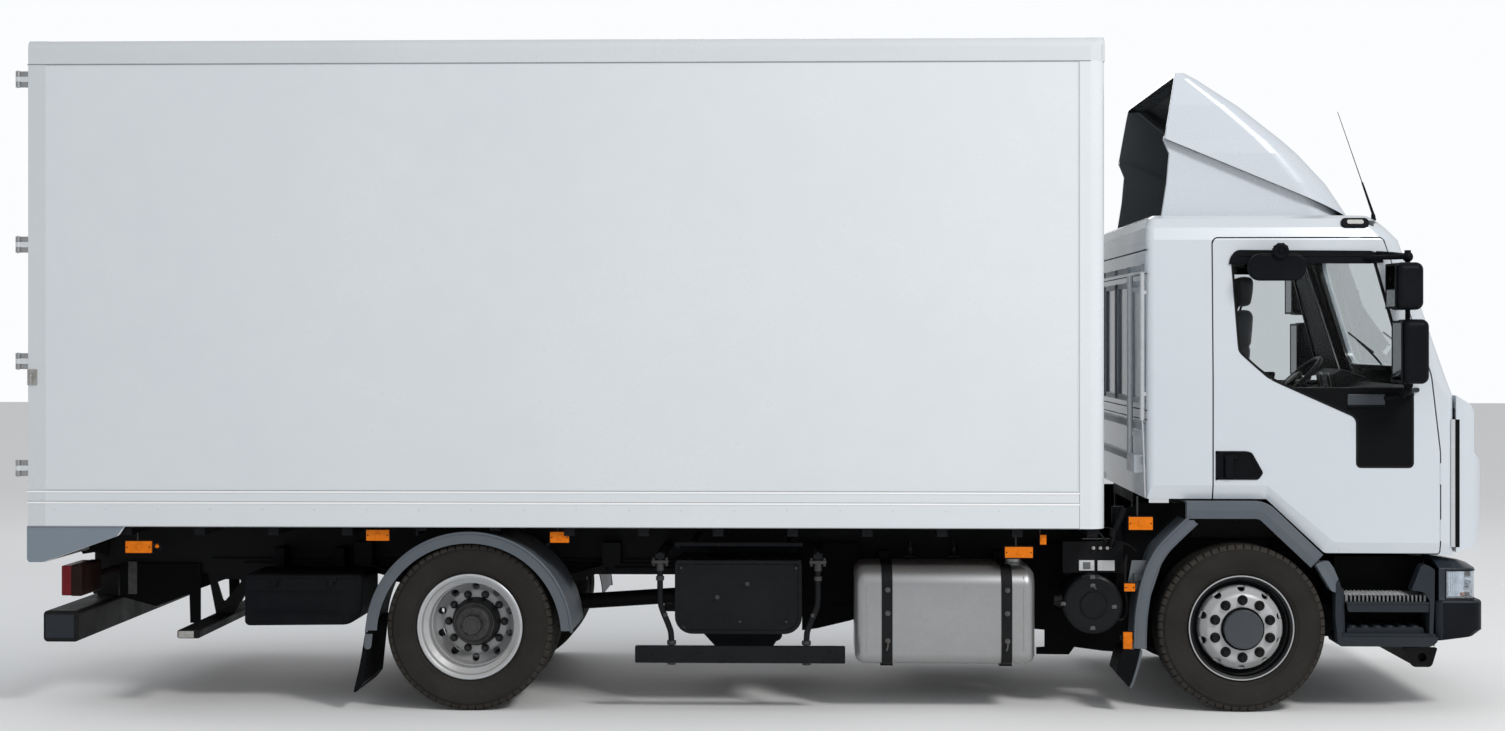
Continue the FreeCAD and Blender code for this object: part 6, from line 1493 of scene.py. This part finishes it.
def makeRearLamps():
    p = rearLamp
    for label, name, s in sides:
        addBox((p["middle"] - 0.006, s * p["inner"], p["low"]), (p["front"], s * p["outer"], p["high"]))
        addBox((p["front"] - 0.002, s * 0.47, 0.722), (p["front"] - 0.04, s * p["inner"], 0.752))
        finishPiece("tailHousing" + label, "lampShade", edge=0.008, stands=["tail_lamps"] if s < 0 else ())
        wide = p["outer"] - p["inner"]
        for a, b in ((0.0, 0.24), (0.62, 1.0)):
            addBox((p["rear"], s * (p["inner"] + wide * a + 0.003), p["low"] + 0.003),
                (p["middle"], s * (p["inner"] + wide * b - 0.001), p["high"] - 0.003))
        finishPiece("tailRedLens" + label, "redLens", edge=0.006)
        for part, a, b, paint in (("Amber", 0.24, 0.43, "amberLens"), ("Clear", 0.43, 0.62, "whiteLens")):
            addBox((p["rear"] + 0.001, s * (p["inner"] + wide * a + 0.001), p["low"] + 0.003),
                (p["middle"], s * (p["inner"] + wide * b - 0.001), p["high"] - 0.003))
            finishPiece("tail" + part + "Lens" + label, paint, edge=0.004)
        # clips and plug at the underrun bar's end
        addBox((-4.055, s * 1.196, 0.405), (-3.89, s * 1.2005, 0.54))
        finishPiece("underrunEnd" + label, "stepSlate", edge=0.012)
        addBox((-3.285, s * 1.196, 0.408), (-3.195, s * 1.2015, 0.448))
        addRod((-3.24, s * 1.199, 0.428), (-3.24, s * 1.206, 0.428), 0.012, 12)
        finishPiece("footEnd" + label, "zincSteel", edge=0.003)
    # blank number plate under the sill, with its lamps
    addBox((-4.086, -0.265, 0.425), (-4.078, 0.265, 0.537))
    finishPiece("rearBlankPlate", "whiteLabel", edge=0.001)
    for y in (-0.17, 0.17):
        addBox((-4.104, y - 0.035, 0.545), (-4.066, y + 0.035, 0.565))
    finishPiece("plateLamps", "blackPlastic", edge=0.004)


makeSteps()
eachSide(makeHeadlamps)
makeBumper()
makeFrontPanel()
makeRearLamps()
print("front and rear lamps ready")


# Cab inside: padded seats, dashboard and steering wheel
seat = dict(middle=0.56, voxel=0.009, inset=0.012, crown=0.022, quality=6, pressure=4.0, stiffness=25.0,
    frames=20, cap=0.013, seamDepth=0.009, seamWidth=0.01, smoothing=3)
cushionSide = ((2.764, 1.534), (3.268, 1.534), (3.304, 1.612), (3.0, 1.642), (2.764, 1.644))
backSide = ((2.768, 1.652), (2.876, 1.652), (2.812, 2.306), (2.716, 2.306))
restSide = ((2.744, 2.318), (2.818, 2.318), (2.838, 2.49), (2.744, 2.49))
lean = dict(Right=0.12, Left=0.0, foot=1.64, top=2.32)   # how far the top of each seat back stands ahead


def padShape(name, outline, rounds, half, inset):
    # starting form of a pad, slightly smaller than it ends, with crowned faces
    part, _, _ = roundedPlate([(x, -half + inset, z) for x, z in outline], rounds, 4,
        (0, 2 * (half - inset), 0))
    bmesh.ops.recalc_face_normals(part, faces=part.faces)
    bevelEdges(part, [edge for edge in part.edges if edge.calc_face_angle(0) > 1.2], seat["crown"], 3)
    mesh = bpy.data.meshes.new(name)
    part.to_mesh(mesh)
    part.free()
    return mesh


def leanAhead(verts, label):
    for vert in verts:
        share = (vert.co.z - lean["foot"]) / (lean["top"] - lean["foot"])
        vert.co.x += lean[label] * min(1.0, max(0.0, share))


def settled(obj):
    # the object's mesh with its modifiers applied
    shape = obj.evaluated_get(bpy.context.evaluated_depsgraph_get())
    return bpy.data.meshes.new_from_object(shape)


def stuffPad(name, outline, rounds, half, seams):
    # remesh, let air pressure round it, cap how far a point goes, then press the seams in
    p = seat
    scene = bpy.context.scene
    obj = addObject(name, padShape(name, outline, rounds, half, p["inset"]))
    having(obj.modifiers.new("remesh", "REMESH"), mode="VOXEL", voxel_size=p["voxel"])
    bpy.context.view_layer.update()
    start = settled(obj)
    obj.modifiers.clear()
    obj.data = start
    settings = having(obj.modifiers.new("stuffing", "CLOTH").settings, quality=p["quality"],
        use_pressure=True, uniform_pressure_force=p["pressure"], tension_stiffness=p["stiffness"])
    settings.effector_weights.gravity = 0.0
    for frameNumber in range(1, p["frames"] + 1):
        scene.frame_set(frameNumber)
    swollen = settled(obj)
    obj.modifiers.clear()
    scene.frame_set(1)
    for vert, old in zip(swollen.vertices, start.vertices):
        move = vert.co - old.co
        if move.length > p["cap"]:
            vert.co = old.co + move * (p["cap"] / move.length)
    obj.data = swollen
    part = bmesh.new()
    part.from_mesh(obj.data)
    for _ in range(p["smoothing"]):
        bmesh.ops.smooth_vert(part, verts=part.verts, factor=0.5, use_axis_x=True, use_axis_y=True,
            use_axis_z=True)
    part.normal_update()
    for vert in part.verts:
        depth = max((math.exp(-((vert.co[axis] - at) / p["seamWidth"]) ** 2) for axis, at in seams),
            default=0.0)
        vert.co -= vert.normal * (p["seamDepth"] * depth)
    mesh = bpy.data.meshes.new(name)
    part.to_mesh(mesh)
    part.free()
    bpy.data.objects.remove(obj)
    return mesh


def makeSeats():
    pads = (("seatCushion", cushionSide, (0.02, 0.035, 0.03, 0.02, 0.02), 0.25,
        ((1, -0.155), (1, 0.155), (0, 2.93), (0, 3.1)), 0.6), ("seatBack", backSide,
        (0.02, 0.02, 0.035, 0.03), 0.25, ((1, -0.15), (1, 0.15), (2, 1.86), (2, 2.08)), 0.6),
        ("headrest", restSide, (0.02, 0.02, 0.03, 0.03), 0.13, (), 0.7))
    for name, outline, rounds, half, seams, fill in pads:
        shape = stuffPad(name, outline, rounds, half, seams)
        for label, side, s in sides:
            mesh = shape.copy()
            mesh.transform(Matrix.Translation((0, s * seat["middle"], 0)))
            leanAhead(mesh.vertices, label)
            mesh.shade_smooth()
            mesh.materials.append(paints["seatCloth"])
            pad = addObject(name + label, mesh)
            having(pad.modifiers.new("finer", "SUBSURF"), levels=1, render_levels=1)
            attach(pad, "cab")
            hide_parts("seats")
        bpy.data.meshes.remove(shape)
    for label, side, s in sides:
        # pedestal, slides, headrest posts and seams' piping
        middle = s * seat["middle"]
        addBox((2.78, middle - 0.17, 1.14), (3.06, middle + 0.17, 1.47))
        addBox((2.75, middle - 0.2, 1.47), (3.23, middle - 0.16, 1.512))
        addBox((2.75, middle + 0.16, 1.47), (3.23, middle + 0.2, 1.512))
        addBox((2.77, middle - 0.21, 1.508), (3.22, middle + 0.21, 1.526))
        for dy in (-0.06, 0.06):
            addRod((2.766, middle + dy, 2.29), (2.78, middle + dy, 2.345), 0.007, 12)
        for dy in (-0.256, 0.256):
            addPlate([(2.79, middle + dy - 0.006, 1.5), (2.93, middle + dy - 0.006, 1.5),
                (2.88, middle + dy - 0.006, 1.7), (2.8, middle + dy - 0.006, 1.72)], (0, 0.012, 0))
        addPipe([(3.15, middle - s * 0.262, 1.5), (3.15, middle - s * 0.275, 1.56),
            (3.135, middle - s * 0.275, 1.62)], 0.01)
        leanAhead(work.verts, label)
        finishPiece("seatFrame" + label, "cabTrim", "cab", 0.008)
        # arm rest on a pivot
        addRod((2.85, middle - s * 0.262, 1.905), (2.85, middle - s * 0.31, 1.905), 0.028, 20)
        addBox((2.85, middle - s * 0.266, 1.88), (3.11, middle - s * 0.312, 1.925))
        leanAhead(work.verts, label)
        finishPiece("armRest" + label, "cabTrim", "cab", 0.014)


def makeDashboard():
    # hood over the instruments, and the facia
    addPlate([(3.655, 0.3, 1.805), (3.64, 0.3, 1.9), (3.7, 0.3, 1.935), (3.85, 0.3, 1.88)], (0, 0.52, 0))
    addBox((3.56, -0.1, 1.56), (3.64, 0.24, 1.8))
    finishPiece("instrumentHood", "cabTrim", "cab", 0.012)
    for y, r in ((0.46, 0.058), (0.66, 0.058), (0.56, 0.03)):
        addSpin([(0.0, r), (0.007, r), (0.008, r - 0.006), (0.003, r - 0.01), (0.003, 0.0)], (3.652, y, 1.85),
            (-1, 0, -0.15), 32)
    for y in (-0.04, 0.02, 0.08, 0.14, 0.2):
        addRod((3.561, y, 1.62), (3.552, y, 1.62), 0.012, 14)
    finishPiece("dashDials", "whiteLabel", "cab", 0.001)
    # vents and the radio's blank face
    for y0 in (-0.86, -0.42, -0.07, 0.1):
        for i in range(5):
            addBox((3.596 if y0 < -0.2 else 3.554, y0, 1.7 + i * 0.013), (3.64, y0 + 0.13, 1.705 + i * 0.013))
    addBox((3.554, -0.03, 1.645), (3.562, 0.17, 1.69))
    finishPiece("dashVents", "glossBlack", "cab", 0.001)
    # gear lever with its boot, and pedals
    addPipe([(3.4, 0.12, 1.14), (3.4, 0.12, 1.42), (3.37, 0.13, 1.62)], 0.01)
    addSpin([(0.0, 0.0), (0.004, 0.018), (0.03, 0.026), (0.052, 0.02), (0.058, 0.0)], (3.37, 0.13, 1.61),
        (-0.1, 0, 1), 20)
    addSpin([(0.0, 0.1), (0.02, 0.085), (0.05, 0.06), (0.08, 0.03), (0.085, 0.0)], (3.4, 0.12, 1.16),
        (0, 0, 1), 24)
    for y in (0.42, 0.56, 0.68):
        addPipe([(3.72, y, 1.42), (3.67, y, 1.3), (3.63, y, 1.245)], 0.007)
        addPlate([(3.65, y - 0.03, 1.205), (3.65, y + 0.03, 1.205), (3.618, y + 0.03, 1.275),
            (3.618, y - 0.03, 1.275)], (0.008, 0, 0.004))
    finishPiece("cabControls", "cabTrim", "cab", 0.002)
    # steering wheel's pad and column stalks
    hub = Vector((3.45, 0.56, 1.85))
    axis = Vector((-0.6812, 0, 0.7321))
    addSpin([(-0.004, 0.064), (0.012, 0.072), (0.026, 0.068), (0.034, 0.05), (0.037, 0.0)], hub, axis, 40)
    across = Vector((0, 1, 0)).cross(axis)
    for direction in (Vector((0, 1, 0)), Vector((0, -1, 0)), -across):
        start, end = hub + direction * 0.06 - axis * 0.008, hub + direction * 0.205
        addRod(start, end, 0.021, 16, 0.016)
    finishPiece("wheelPad", "cabTrim", "steering_wheel")
    for s in (-1, 1):
        addPipe([hub - axis * 0.105 + Vector((0, s * 0.045, 0)), hub - axis * 0.095 + Vector((0, s * 0.12,
            0.006)), hub - axis * 0.085 + Vector((0, s * 0.185, 0.012))], 0.007)
    finishPiece("columnStalks", "cabTrim", "cab")
    for label, name, s in sides:                           # sun visors and the doors' inner panels
        addBox((3.5, s * 0.18, 2.64), (3.66, s * 0.8, 2.655))
        finishPiece("sunVisor" + label, "cabTrim", "cab", 0.006)
        addBox((2.8, s * 1.04, 1.56), (3.55, s * 1.09, 1.61))
        addPipe([(2.92, s * 1.085, 1.66), (2.94, s * 1.045, 1.665), (3.1, s * 1.04, 1.69),
            (3.26, s * 1.045, 1.705), (3.28, s * 1.085, 1.71)], 0.012)
        finishPiece("doorArmRest" + label, "cabTrim", "cab_door_" + name, 0.012)


makeSeats()
makeDashboard()
print("cab inside ready")
makeStudio()
print("studio ready")
